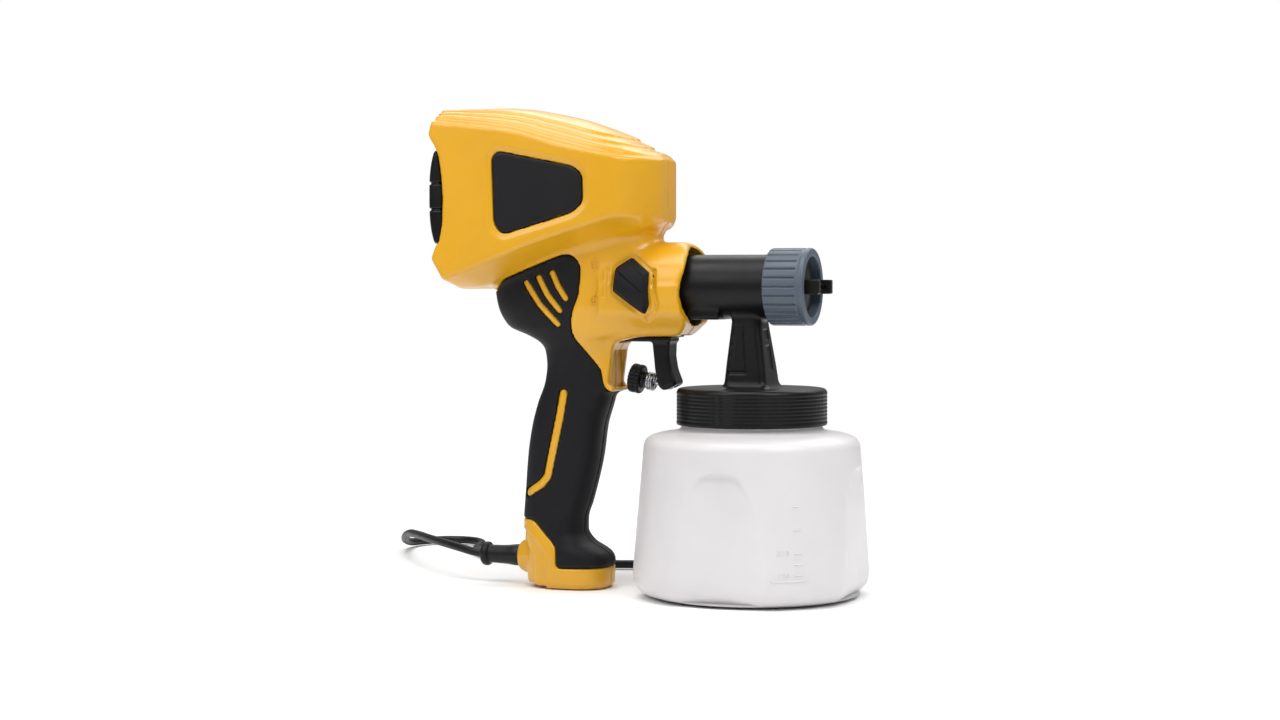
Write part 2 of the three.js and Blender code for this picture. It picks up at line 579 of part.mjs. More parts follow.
// ---- spray head: barrel, pillar and cup lid in one moulding ----
const PILLAR = through([[107, 0], [111, 0.06], [143, 1], [152, 1]]);
function pillarSection(z) {
  const t = PILLAR(z);
  const a = 11.6 - 4.6 * t;
  const b = 14 - 5.4 * t;
  const c = 2.4;
  return [[a, b - c], [a - c, b], [c - a, b], [-a, b - c], [-a, c - b], [c - a, -b], [a - c, -b],
    [a, c - b]].map(([x, y]) => [CUP_X + x - 1.2 * t, y, z]);
}
function sprayHead() {
  const barrel = rodX(BARREL_R, BARREL_REAR, BARREL_FRONT, 0, AXIS_Z, 32);
  const key = box(26, 47.6, -9, 9, 143.4, 150);
  const pillar = loft([107, 112, 122, 134, 144, 152].map(pillarSection));
  const lid = turnedZ([[0, LID_Z[1]], [LID_R - 3.4, LID_Z[1]], [LID_R, LID_Z[1] - 3.4],
    [LID_R, LID_Z[0]], [CUP_NECK_R + 0.8, LID_Z[0]], [CUP_NECK_R + 0.8, 105.4],
    [4.6, 105.4], [4.6, 101.4], [0, 101.4]], CUP_X, 0, 40);
  const airHoles = [];
  for (let i = 0; i < 6; i++) {
    const a = ((i + 0.5) * Math.PI) / 3;
    airHoles.push(rodX(1.9, 30, 90, Math.cos(a) * 12, AXIS_Z + Math.sin(a) * 12, 6));
  }
  const panel = (s) => box(CUP_X - 5, CUP_X + 4, s < 0 ? -20 : 9.6, s < 0 ? -9.6 : 20, 117, 139);
  return cut(join(barrel, key, pillar, lid),
    rodX(14, -5, 41, 0, AXIS_Z, 24),
    rodX(2.1, 30, 90, 0, AXIS_Z, 10),
    rodX(8.4, BARREL_FRONT - 4, 90, 0, AXIS_Z, 16),
    rodX(4.4, 30, 52, 0, AXIS_Z, 14),
    rodZ(2.4, 99, AXIS_Z, CUP_X, 0, 8),
    box(10.4, 15.8, -20, 20, AXIS_Z - 2.4, AXIS_Z + 2.4),
    box(-5, 8, -8.6, 8.6, 140, 150),
    panel(-1), panel(1), ...airHoles);
}
piece('spray_head', sprayHead(), blackPlastic);

function tip() {
  const nozzle = turnedX([[1.9, 80.8], [8, 80.8], [8, 84.6], [5, 88], [2.7, 91], [2.5, 96.2],
    [1.8, 96.2], [1.9, 80.8]], 0, AXIS_Z, 20);
  piece('fluid_nozzle', nozzle, steel);
  const crosshead = rodY(1.4, -19.6, 19.6, 14.2, AXIS_Z, 12);
  const needle = turnedX([[0, 12.8], [1.5, 12.8], [1.5, 91], [0.5, 95.8], [0, 95.8]], 0, AXIS_Z, 14);
  const collar = rodX(3, 25, 27.6, 0, AXIS_Z, 14);
  piece('needle', join(needle, crosshead, collar), steel);
  piece('needle_packing', ringX(1.9, 4, 41.6, 46, 0, AXIS_Z, 16), whitePlastic);
  piece('needle_spring', ringX(2.2, 3.8, 28, 41.2, 0, AXIS_Z, 16), steel);
}
tip();

const HORN_TIP = 102;
const HORN_HALF = 3.6;
const RING_FRONT = 95.2;         // front face of the locking ring
function airCap() {
  const front = 88.4;
  const rim = RING_FRONT - 1.2;
  const disc = turnedX([[9, 85.4], [16.5, 85.4], [16.5, front - GAP], [15.2, front - GAP],
    [15.2, rim], [14, rim], [13.2, rim - 2.8], [3.4, 93.2], [3.4, 91.2], [9, 88.2], [9, 85.4]],
  0, AXIS_Z, 24);
  const horn = (s) => prismZ([[90, s * 7.4], [HORN_TIP, s * 9.2], [HORN_TIP, s * 12.6],
    [90, s * 13.4]], AXIS_Z - HORN_HALF, AXIS_Z + HORN_HALF);
  const jets = [-1, 1].map((s) => rod(0.9, [99.4, s * 6, AXIS_Z], [96.4, s * 11, AXIS_Z], 8));
  return cut(join(disc, horn(-1), horn(1)), ...jets);
}
piece('air_cap', airCap(), blackPlastic);

function lockingRing() {
  const [rear, front] = [73.3, RING_FRONT];
  const outer = [];
  for (let i = 0; i < 48; i++) {
    const r = i % 2 ? 19.2 : 20;
    outer.push(new THREE.Vector2(r * Math.cos((i * Math.PI) / 24), r * Math.sin((i * Math.PI) / 24)));
  }
  const fluted = new THREE.ExtrudeGeometry(new THREE.Shape(outer),
    { depth: 17, bevelEnabled: false });
  const collar = turnedX([[0, rear + 16], [20, rear + 16], [20, front - 1.2], [18.8, front],
    [0, front]], 0, AXIS_Z, 32);
  const bore = turnedX([[0, 70], [BARREL_R + 0.4, 70], [BARREL_R + 0.4, 88.7], [15.8, 88.7],
    [15.8, 99], [0, 99]], 0, AXIS_Z, 32);
  const grip = solid(fluted.rotateY(Math.PI / 2).translate(rear, 0, AXIS_Z));
  return cut(join(grip, collar), bore);
}
piece('locking_ring', lockingRing(), greyPlastic);

// ---- cup ----
function cupBody(t) {
  const wall = [[0, 1.6], [40, 1.6], [44, 0], [51.3, 0], [57.6, 1.7], [61.2, 6], [CUP_R, 11],
    [56.2, 79.2], [53.6, 82.4], [48.9, 84.2], [38.4, 85.6], [CUP_NECK_R, 87.2],
    [CUP_NECK_R, 104.9], [0, 104.9]];
  const inside = [[0, 1.6 + t], [50, t * 1.2], [56.6, 2.9], [60, 6.8], [CUP_R - t, 11.2],
    [56.2 - t, 78.4], [53, 81], [48.6, 82.8], [37.6, 84.4], [CUP_NECK_R - t, 86.8],
    [CUP_NECK_R - t, 110], [0, 110]];
  const body = turnedZ(t > 0 ? inside : wall, CUP_X, 0, 40);
  const far = 90;
  const near = CUP_PANEL - t;
  return cut(body, box(CUP_X - far, CUP_X - near, -60, 60, -5, 75),
    box(CUP_X + near, CUP_X + far, -60, 60, -5, 75),
    box(CUP_X - 60, CUP_X + 60, -far, -near, -5, 75),
    box(CUP_X - 60, CUP_X + 60, near, far, -5, 75));
}
piece('cup', cut(cupBody(0), cupBody(CUP_WALL)), cupPlastic);
piece('cup_gasket', ringZ(30, CUP_NECK_R + 0.4, 105.1, 105.35, CUP_X, 0, 32), blackRubber);

function suctionTube() {
  const route = [[CUP_X, 0, 101.1], [CUP_X, 0, 60], [CUP_X + 1, 0, 40], [CUP_X + 8, 0, 22],
    [CUP_X + 18, 0, 8]];
  return cut(solid(tubeAlong(route, 3.6, 8, 10)),
    solid(tubeAlong([[CUP_X, 0, 103], ...route, [CUP_X + 22, 0, 4]], 2.4, 9, 8)));
}
piece('suction_tube', suctionTube(), whitePlastic);

// ---- trigger, flow knob and lock ----
const knobDirection = [Math.cos(THREE.MathUtils.degToRad(KNOB_TILT)),
  -Math.sin(THREE.MathUtils.degToRad(KNOB_TILT))];
const KNOB_REAR = [-4.6, 112.4];
const onKnobAxis = (d) =>
  [KNOB_REAR[0] + knobDirection[0] * d, 0, KNOB_REAR[1] + knobDirection[1] * d];

const WEB_X = 12;                // rear face of the web that the return spring pushes
function trigger() {
  const blade = prismY([[8.8, 133], [9.8, 124], [10.6, 116], [12.2, 108.4], [14.8, 105.8],
    [22, 108.8], [22.4, 110.6], [19.8, 117], [18.6, 124], [19, 133]], -7, 7);
  const plate = box(-8.6, 19.4, -7.8, 7.8, 131.6, 134.6);
  const heel = box(-8.6, -5.6, -4, 4, 131.6, 137.4);
  const loop = ringX(BARREL_R + 0.7, BARREL_R + 3.1, 16.4, 23, 0, AXIS_Z, 28);
  const web = box(WEB_X, 23, -6, 6, 134, 143.3);
  const ear = rodY(2.1, -5, 5, PIVOT[0], PIVOT[1], 10);
  return cut(join(blade, plate, heel, loop, web, ear),
    rodX(BARREL_R + 0.7, 0, 40, 0, AXIS_Z, 28),
    rodY(1.2, -12, 12, PIVOT[0], PIVOT[1], 8),
    rod(2, onKnobAxis(6), onKnobAxis(26), 14));
}
piece('trigger', trigger(), blackPlastic);
piece('trigger_pin', rodY(0.9, -11, 11, PIVOT[0], PIVOT[1], 8), steel);
piece('trigger_return_spring',
  ringX(1.3, 2.2, SPRING_SEAT_X + GAP, WEB_X - GAP, 0, 141.4, 14), steel);

function flowKnob() {
  const rim = [];
  for (let i = 0; i < 28; i++) {
    const a = (i * Math.PI) / 14;
    const r = i % 2 ? 7.1 : 7.7;
    rim.push(new THREE.Vector2(r * Math.cos(a), r * Math.sin(a)));
  }
  const knurled = new THREE.ExtrudeGeometry(new THREE.Shape(rim), { depth: 6.4, bevelEnabled: false });
  const [back, front] = [v3(onKnobAxis(0)), v3(onKnobAxis(1))];
  knurled.applyQuaternion(new THREE.Quaternion().setFromUnitVectors(
    new THREE.Vector3(0, 0, 1), front.sub(back)));
  const body = solid(knurled.translate(back.x, back.y, back.z));
  const neck = rod(4.6, onKnobAxis(6), onKnobAxis(8), 12);
  return cut(join(body, neck), rod(1.9, onKnobAxis(2), onKnobAxis(12), 12));
}
piece('flow_knob', flowKnob(), blackPlastic);
piece('flow_screw', rod(1.6, onKnobAxis(2.3), onKnobAxis(24), 14), steel);
const flowSpring = cut(rod(4.9, onKnobAxis(8.3), onKnobAxis(14.2), 16),
  rod(3.7, onKnobAxis(7), onKnobAxis(16), 12));
piece('flow_spring', flowSpring, steel);

// Six-sided button on a slide that turns inside the shroud.
const LOCK_OUTLINE = [[-5.2, 170.4], [-5.6, 158], [10.4, 146.2], [13.4, 150.8], [13.8, 168],
  [3.2, 175.8]];
function lockButton() {
  const dome = rodX(SHROUD_R + 4.4, -10, 20, 0, AXIS_Z, 36);
  const cap = cut(prismY(LOCK_OUTLINE.slice().reverse(), -40, 0).intersect(dome),
    rodX(SHROUD_R + 2 * GAP, -12, 22, 0, AXIS_Z, 36));
  const stem = barrelSector(SHROUD_BORE_R - 0.2, SHROUD_R + 1.6, 0, 6, -9, 9, 4);
  return join(cap, stem);
}
piece('lock_button', lockButton(), blackRubber);
piece('lock_slide', barrelSector(SHROUD_BORE_R - 2, SHROUD_BORE_R - 0.4, -1.6, 7.6, -14, 14, 6),
  whitePlastic);

// ---- mains lead ----
const LYING_Z = CORD_R + 0.1;    // height of the lead where it lies on the table
const LEAD_ROUTE = [[-91.8, 0, LEAD_Z], [-97.5, 0.2, 15.7], [-107, 3, 17.2], [-120, 11, 18.3],
  [-136, 25, 18.6], [-151, 42, 18.2], [-166, 62, 16.4], [-180, 84, 12], [-191, 106, 6.8],
  [-196.8, 127.4, 3], [-194, 140.4, LYING_Z], [-186.1, 149.4, LYING_Z], [-175, 152.6, LYING_Z],
  [-163.9, 149.4, LYING_Z], [-156, 140.5, LYING_Z], [-151.8, 128, LYING_Z], [-146.8, 112, LYING_Z],
  [-136, 96, LYING_Z], [-120, 83, LYING_Z], [-99, 74, LYING_Z], [-73, 70.5, LYING_Z],
  [-44, 73.5, LYING_Z], [-18, 82, LYING_Z],
  [5.6, COIL.y - COIL.r - 2 * CORD_R, LYING_Z]];
piece('cord_run', tubeAlong(LEAD_ROUTE, CORD_R, 40, 8), blackRubber);
const COIL_HALF = COIL.turns * CORD_R;
const COIL_TOP = COIL.layers * 2 * CORD_R + 0.2;
piece('cord_coil', ringZ(COIL.r - COIL_HALF, COIL.r + COIL_HALF, 0.2, COIL_TOP, COIL.x, COIL.y, 28),
  blackRubber);
const TAIL_Z = [COIL_TOP + CORD_R + GAP, 23];
const TAIL_R = 20.6;             // the last half turn, from the coil up to the plug
const TAIL_FROM = -245;          // degrees round the coil
const TAIL_TO = -90;
function tailRoute() {
  const points = [];
  for (let i = 0; i <= 8; i++) {
    const s = THREE.MathUtils.degToRad(TAIL_FROM + ((TAIL_TO - TAIL_FROM) * i) / 8);
    const z = TAIL_Z[0] + (TAIL_Z[1] - TAIL_Z[0]) * Math.min(1, i / 7);
    points.push([COIL.x + Math.cos(s) * TAIL_R, COIL.y + Math.sin(s) * TAIL_R, z]);
  }
  points.push([COIL.x + 5, COIL.y - TAIL_R, TAIL_Z[1]]);
  return points;
}
piece('cord_tail', tubeAlong(tailRoute(), CORD_R, 8, 8), blackRubber);
const PLUG_X = COIL.x + 5 + GAP;
const PLUG_Y = COIL.y - TAIL_R;
function plugBody() {
  const outline = [[PLUG_X, -4.5], [PLUG_X + 9, -6], [PLUG_X + 16, -12.6], [PLUG_X + 34, -12.6],
    [PLUG_X + 36, -11], [PLUG_X + 36, 11], [PLUG_X + 34, 12.6], [PLUG_X + 16, 12.6],
    [PLUG_X + 9, 6], [PLUG_X, 4.5]].map(([x, y]) => [x, y + PLUG_Y]);
  return cut(prismZ(outline, TAIL_Z[1] - 6.6, TAIL_Z[1] + 6.6),
    ...[-9.5, 9.5].map((y) => rodX(2.3, PLUG_X + 30, PLUG_X + 40, PLUG_Y + y, TAIL_Z[1], 14)));
}
piece('mains_plug', plugBody(), blackRubber);
[-9.5, 9.5].forEach((y, i) =>
  piece(`plug_pin_${i + 1}`, rodX(2, PLUG_X + 30.3, PLUG_X + 55, PLUG_Y + y, TAIL_Z[1], 14), brass));

export default sprayer;
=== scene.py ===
import json
import math

import bpy
import numpy as np
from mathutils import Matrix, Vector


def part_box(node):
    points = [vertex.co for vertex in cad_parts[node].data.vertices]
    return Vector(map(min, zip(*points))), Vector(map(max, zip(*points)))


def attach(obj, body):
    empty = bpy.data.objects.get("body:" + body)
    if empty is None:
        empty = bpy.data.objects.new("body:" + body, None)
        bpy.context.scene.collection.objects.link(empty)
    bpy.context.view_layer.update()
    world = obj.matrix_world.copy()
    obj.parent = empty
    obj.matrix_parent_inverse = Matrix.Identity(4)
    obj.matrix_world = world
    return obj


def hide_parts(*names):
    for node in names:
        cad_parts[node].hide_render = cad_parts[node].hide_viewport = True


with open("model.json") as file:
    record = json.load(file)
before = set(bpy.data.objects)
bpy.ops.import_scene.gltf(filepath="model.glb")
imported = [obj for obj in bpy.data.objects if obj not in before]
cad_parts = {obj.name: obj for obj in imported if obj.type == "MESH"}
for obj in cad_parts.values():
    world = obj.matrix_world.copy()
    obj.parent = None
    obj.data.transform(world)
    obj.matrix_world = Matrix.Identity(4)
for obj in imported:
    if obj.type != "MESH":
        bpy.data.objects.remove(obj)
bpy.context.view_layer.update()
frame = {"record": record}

import openvdb as vdb
from mathutils import Vector

# ---- the drawing's own frame: millimetres, X from the datum under the handle ----
CUP_X = 62.2
cup_low, cup_high = (Vector(corner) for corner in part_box("cup"))
DATUM_X = CUP_X / 1000 - (cup_low.x + cup_high.x) / 2
AXIS_Z = 160.5                   # barrel axis height


def at(x, y, z):
    """A point of the drawing, in metres in the shared frame."""
    return Vector((x / 1000 - DATUM_X, y / 1000, z / 1000))


# ---- camera ----
CAMERA_TURN = math.radians(20.5)
CAMERA_DISTANCE = 1.2
CAMERA_HEIGHT = 0.165
CAMERA_TILT = math.radians(2.07)
CAMERA_LENS = 63.7


def make_camera():
    data = bpy.data.cameras.new("camera")
    data.lens = CAMERA_LENS
    data.sensor_width = 36
    data.clip_end = 20
    camera = bpy.data.objects.new("camera", data)
    bpy.context.collection.objects.link(camera)
    datum = at(0, 0, 0)
    camera.location = (datum.x + CAMERA_DISTANCE * math.sin(CAMERA_TURN),
                       -CAMERA_DISTANCE * math.cos(CAMERA_TURN), CAMERA_HEIGHT)
    camera.rotation_euler = (math.pi / 2 - CAMERA_TILT, 0, CAMERA_TURN)
    bpy.context.scene.camera = camera


make_camera()


# ---- material helpers ----
FINISH = {}                      # material of each slot


class Nodes:
    """Short hand for building a node material."""

    def __init__(self, name):
        self.material = bpy.data.materials.new(name)
        FINISH[name] = self.material
        self.material.use_nodes = True
        self.tree = self.material.node_tree
        self.shader = self.tree.nodes["Principled BSDF"]
        self.place = self.add("ShaderNodeTexCoord").outputs["Object"]

    def add(self, kind, **values):
        node = self.tree.nodes.new(kind)
        for key, value in values.items():
            if key in node.inputs.keys():
                node.inputs[key].default_value = value
            else:
                setattr(node, key, value)
        return node

    def link(self, source, target):
        self.tree.links.new(source, target)

    def noise(self, scale, detail=4.0, roughness=0.55):
        node = self.add("ShaderNodeTexNoise")
        node.inputs["Scale"].default_value = scale
        node.inputs["Detail"].default_value = detail
        node.inputs["Roughness"].default_value = roughness
        self.link(self.place, node.inputs["Vector"])
        return node.outputs["Fac"]

    def span(self, source, low, high, start=0.3, end=0.7):
        node = self.add("ShaderNodeMapRange")
        for key, value in (("From Min", start), ("From Max", end), ("To Min", low), ("To Max", high)):
            node.inputs[key].default_value = value
        self.link(source, node.inputs["Value"])
        return node.outputs["Result"]

    def mix(self, factor, a, b):
        node = self.add("ShaderNodeMix", data_type="RGBA")
        self.link(factor, node.inputs["Factor"])
        for value, key in ((a, "A"), (b, "B")):
            socket = [s for s in node.inputs if s.name == key and s.type == "RGBA"][0]
            if isinstance(value, (tuple, list)):
                socket.default_value = (*value, 1)
            else:
                self.link(value, socket)
        return [s for s in node.outputs if s.type == "RGBA"][0]

    def math(self, kind, a, b):
        node = self.add("ShaderNodeMath", operation=kind)
        for value, socket in ((a, node.inputs[0]), (b, node.inputs[1])):
            if isinstance(value, (int, float)):
                socket.default_value = value
            else:
                self.link(value, socket)
        return node.outputs["Value"]

    def bump(self, height, distance, strength=1.0, after=None):
        node = self.add("ShaderNodeBump")
        node.inputs["Strength"].default_value = strength
        node.inputs["Distance"].default_value = distance
        self.link(height, node.inputs["Height"])
        if after is not None:
            self.link(after, node.inputs["Normal"])
        return node.outputs["Normal"]

    def finish(self, colour=None, roughness=None, normal=None, **uniform):
        for source, key in ((colour, "Base Color"), (roughness, "Roughness"), (normal, "Normal")):
            if source is not None:
                self.link(source, self.shader.inputs[key])
        for key, value in uniform.items():
            self.shader.inputs[key.replace("_", " ").title().replace("Ior", "IOR")].default_value = value
        return self.material


def srgb(r, g, b):
    """Linear colour from 0 to 255 display values."""
    def one(c):
        c /= 255
        return c / 12.92 if c <= 0.04045 else ((c + 0.055) / 1.055) ** 2.4
    return tuple(one(c) for c in (r, g, b))


def moulded(name, colour, roughness, grain=0.00004, grain_scale=1500, drift=0.06, wear=0.12, **uniform):
    """Moulded plastic: spark-eroded grain, slow colour drift and lighter rubbed edges."""
    n = Nodes(name)
    dark = tuple(c * (1 - drift) for c in colour)
    light = tuple(min(1, c * (1 + drift)) for c in colour)
    body = n.mix(n.span(n.noise(14, 3), 0, 1), dark, light)
    edge = n.add("ShaderNodeNewGeometry").outputs["Pointiness"]
    patches = n.span(n.noise(90, 5), 0, wear, 0.45, 0.65)
    scuffs = n.math("MULTIPLY", n.span(edge, 0, 1, 0.53, 0.6), patches)
    worn = tuple(min(1, c * 1.25 + 0.02) for c in colour)
    colour_out = n.mix(scuffs, body, worn)
    rough = n.span(n.noise(60, 6, 0.65), roughness - 0.06, roughness + 0.07)
    fine = n.noise(grain_scale, 2, 0.5)
    wave = n.bump(n.noise(35, 2), 0.00006, 0.5)
    return n.finish(colour_out, rough, n.bump(fine, grain, 0.8, after=wave), **uniform)


def turned_metal(name, colour, roughness):
    n = Nodes(name)
    body = n.mix(n.span(n.noise(120, 5), 0, 1), tuple(c * 0.8 for c in colour), colour)
    rough = n.span(n.noise(400, 4), roughness - 0.08, roughness + 0.12)
    return n.finish(body, rough, n.bump(n.noise(900, 3), 0.00002, 0.6), metallic=1.0)


moulded("yellow_shell", srgb(217, 159, 10), 0.35, wear=0.3, coat_weight=0.4, coat_roughness=0.2)
moulded("grip_rubber", srgb(15, 15, 19), 0.55, grain=0.00006, grain_scale=1100,
         specular_ior_level=0.22)
moulded("badge_plastic", srgb(18, 17, 20), 0.5, specular_ior_level=0.25)
moulded("black_plastic", srgb(10, 10, 12), 0.36, specular_ior_level=0.25)
moulded("ring_plastic", srgb(74, 85, 97), 0.42)
moulded("white_plastic", srgb(214, 210, 200), 0.45)
moulded("cord_rubber", srgb(9, 9, 13), 0.42, specular_ior_level=0.3)
turned_metal("steel", srgb(190, 192, 196), 0.28)
turned_metal("laminations", srgb(120, 122, 126), 0.45)
turned_metal("copper", srgb(184, 106, 62), 0.35)
turned_metal("brass", srgb(204, 170, 96), 0.3)
moulded("foam", srgb(48, 50, 54), 0.9, grain=0.0006, grain_scale=700)


def make_cup_plastic():
    n = Nodes("cup_plastic")
    milky = n.mix(n.span(n.noise(18, 3), 0, 1), srgb(212, 209, 211), srgb(219, 216, 218))
    rough = n.span(n.noise(80, 5), 0.3, 0.42)
    return n.finish(milky, rough, n.bump(n.noise(30, 2), 0.00012, 0.4), subsurface_weight=0.25,
                    subsurface_scale=0.004, subsurface_radius=(1, 0.95, 0.95))


make_cup_plastic()


# ---- mesh helpers ----
def carried(obj, body, slot, nodes=()):
    """Lets obj ride on body with the slot's material, in place of the named nodes."""
    obj.data.materials.append(FINISH[slot])
    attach(obj, body)
    if nodes:
        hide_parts(*nodes)
    return obj


def add_piece(name, points, faces, body, slot, nodes=(), crease=None):
    """A piece from points of the drawing."""
    mesh = bpy.data.meshes.new(name)
    mesh.from_pydata([at(*p) for p in points], [], faces)
    mesh.validate()
    mesh.shade_smooth()
    if crease is not None:
        mesh.set_sharp_from_angle(angle=math.radians(crease))
    obj = bpy.data.objects.new(name, mesh)
    bpy.context.collection.objects.link(obj)
    return carried(obj, body, slot, nodes)


def add_tube(name, points, radius, sides, body, slot, nodes=()):
    """A round tube or wire along points of the shared frame."""
    data = bpy.data.curves.new(name, "CURVE")
    data.dimensions = "3D"
    data.bevel_depth = radius
    data.bevel_resolution = sides
    data.resolution_u = 6
    data.use_fill_caps = True
    spline = data.splines.new("POLY")
    spline.points.add(len(points) - 1)
    for place, point in zip(spline.points, points):
        place.co = (*point, 1)
    obj = bpy.data.objects.new(name, data)
    bpy.context.collection.objects.link(obj)
    return carried(obj, body, slot, nodes)


def smooth_through(points, per_span):
    """Centripetal Catmull-Rom points through the given ones."""
    ext = [points[0] * 2 - points[1], *points, points[-1] * 2 - points[-2]]
    out = []
    for i in range(1, len(ext) - 2):
        p = ext[i - 1:i + 3]
        t = [0.0]
        for a, b in zip(p, p[1:]):
            t.append(t[-1] + max(1e-9, (b - a).length) ** 0.5)
        for k in range(per_span):
            u = t[1] + (t[2] - t[1]) * k / per_span
            a1 = p[0].lerp(p[1], (u - t[0]) / (t[1] - t[0]))
            a2 = p[1].lerp(p[2], (u - t[1]) / (t[2] - t[1]))
            a3 = p[2].lerp(p[3], (u - t[2]) / (t[3] - t[2]))
            b1 = a1.lerp(a2, (u - t[0]) / (t[2] - t[0]))
            b2 = a2.lerp(a3, (u - t[1]) / (t[3] - t[1]))
            out.append(b1.lerp(b2, (u - t[1]) / (t[2] - t[1])))
    out.append(points[-1])
    return out


# ---- solid shapes as distance fields: millimetres, negative inside ----
class Grid:
    """Regular sampling of a box of the drawing."""

    def __init__(self, low, high, step):
        self.low, self.step = low, step
        counts = [int(math.ceil((b - a) / step)) + 1 for a, b in zip(low, high)]
        self.shape = tuple(counts)
        line = [np.float32(a + step * np.arange(n)) for a, n in zip(low, counts)]
        self.x = line[0][:, None, None]
        self.y = line[1][None, :, None]
        self.z = line[2][None, None, :]

    def surface(self, field):
        """Points and quads of the field's zero level."""
        dense = np.broadcast_to(field, self.shape)
        dense = np.clip(dense, -3, 3).astype(np.float32)
        dense[[0, -1], :, :] = 3
        dense[:, [0, -1], :] = 3
        dense[:, :, [0, -1]] = 3
        level = vdb.FloatGrid(3.0)
        level.copyFromArray(np.ascontiguousarray(dense), tolerance=0.0)
        points, quads = level.convertToQuads(isovalue=0)
        return points * self.step + np.array(self.low, np.float32), quads[:, ::-1]

    def from_rings(self, rings):
        """Distance to the solid lofted through rings of equal point count."""
        n = len(rings[0])
        points = np.array([p for ring in rings for p in ring], np.float32)
        ends = np.array([np.mean(rings[0], axis=0), np.mean(rings[-1], axis=0)], np.float32)
        points = (np.vstack([points, ends]) - np.array(self.low, np.float32)) / self.step
        last = (len(rings) - 1) * n
        triangles = []
        for r in range(len(rings) - 1):
            for i in range(n):
                j = (i + 1) % n
                a, b, c, d = r * n + i, r * n + j, (r + 1) * n + j, (r + 1) * n + i
                triangles += [(a, b, c), (a, c, d)]
        for i in range(n):
            j = (i + 1) % n
            triangles += [(len(points) - 2, j, i), (len(points) - 1, last + i, last + j)]
        level = vdb.FloatGrid.createLevelSetFromPolygons(
            points.astype(np.float32), triangles=np.array(triangles, np.uint32),
            transform=vdb.createLinearTransform(1.0), halfWidth=11.0)
        dense = np.zeros(self.shape, np.float32)
        level.copyToArray(dense)
        return dense * self.step


def field_piece(name, grid, field, body, slot, *nodes):
    points, quads = grid.surface(field)
    return add_piece(name, points.tolist(), quads.tolist(), body, slot, nodes)


def blend_in(a, b, k):
    """Union with a fillet of about k."""
    h = np.maximum(k - np.abs(a - b), 0) / k
    return np.minimum(a, b) - h * h * k / 4


def blend_out(a, b, k):
    """Intersection with its edge rounded by about k."""
    h = np.maximum(k - np.abs(a - b), 0) / k
    return np.maximum(a, b) + h * h * k / 4


def step_up(value, low, high):
    """Smooth step from 0 at low to 1 at high."""
    t = np.clip((value - low) / (high - low), 0, 1)
    return t * t * (3 - 2 * t)


def step_down(value, low, high):
    return 1 - step_up(value, low, high)


def from_axis(g, z=AXIS_Z):
    """Distance from a line along X, the barrel's axis unless a height is given."""
    return np.sqrt(g.y ** 2 + (g.z - z) ** 2)


def block(g, x, half_x, half_y, z, half_z):
    """Square-edged block across the middle plane."""
    return np.maximum(np.maximum(np.abs(g.y) - half_y, np.abs(g.x - x) - half_x),
                      np.abs(g.z - z) - half_z)


def outline_field(points, x, z):
    """Signed distance to a closed outline of (x, z) points."""
    shape = np.broadcast(x, z).shape
    best = np.full(shape, 1e9, np.float32)
    inside = np.zeros(shape, bool)
    n = len(points)
    for i in range(n):
        (ax, az), (bx, bz) = points[i], points[(i + 1) % n]
        ex, ez = bx - ax, bz - az
        t = np.clip(((x - ax) * ex + (z - az) * ez) / (ex * ex + ez * ez), 0, 1)
        best = np.minimum(best, (x - ax - t * ex) ** 2 + (z - az - t * ez) ** 2)
        if az != bz:
            crosses = ((az > z) != (bz > z)) & (x < (bx - ax) * (z - az) / (bz - az) + ax)
            inside ^= crosses
    return np.where(inside, -1, 1) * np.sqrt(best)


def line_field(points, x, z, width):
    """Signed distance to a stripe of the given width along a line of points."""
    best = np.full(np.broadcast(x, z).shape, 1e9, np.float32)
    for (ax, az), (bx, bz) in zip(points, points[1:]):
        ex, ez = bx - ax, bz - az
        t = np.clip(((x - ax) * ex + (z - az) * ez) / (ex * ex + ez * ez), 0, 1)
        best = np.minimum(best, (x - ax - t * ex) ** 2 + (z - az - t * ez) ** 2)
    return np.sqrt(best) - width / 2


def rounded_outline(points, radii, steps=5):
    """Closed outline with each corner turned into a short curve."""
    out = []
    n = len(points)
    for i in range(n):
        p = np.array(points[i], float)
        a = np.array(points[i - 1], float) - p
        b = np.array(points[(i + 1) % n], float) - p
        r = radii if isinstance(radii, (int, float)) else radii[i]
        la, lb = np.linalg.norm(a), np.linalg.norm(b)
        reach = min(r, 0.49 * la, 0.49 * lb)
        pa, pb = p + a / la * reach, p + b / lb * reach
        for k in range(steps + 1):
            t = k / steps
            out.append(tuple((1 - t) ** 2 * pa + 2 * t * (1 - t) * p + t * t * pb))
    return out


def side_outline(g, points, radii):
    """Outline seen from the side, with its corners rounded."""
    return outline_field(rounded_outline(points, radii), g.x, g.z)


def through(pairs):
    """Smooth monotone curve through (place, value) pairs."""
    xs = np.array([p[0] for p in pairs], float)
    ys = np.array([p[1] for p in pairs], float)
    slopes = np.diff(ys) / np.diff(xs)
    inner = [0 if a * b <= 0 else 2 * a * b / (a + b) for a, b in zip(slopes, slopes[1:])]
    tangents = np.array([slopes[0], *inner, slopes[-1]])

    def value(x):
        x = np.clip(x, xs[0], xs[-1])
        i = np.clip(np.searchsorted(xs, x, side="right") - 1, 0, len(xs) - 2)
        h = xs[i + 1] - xs[i]
        t = (x - xs[i]) / h
        t2, t3 = t * t, t * t * t
        return ((2 * t3 - 3 * t2 + 1) * ys[i] + (t3 - 2 * t2 + t) * h * tangents[i]
                + (3 * t2 - 2 * t3) * ys[i + 1] + (t3 - t2) * h * tangents[i + 1])
    return value


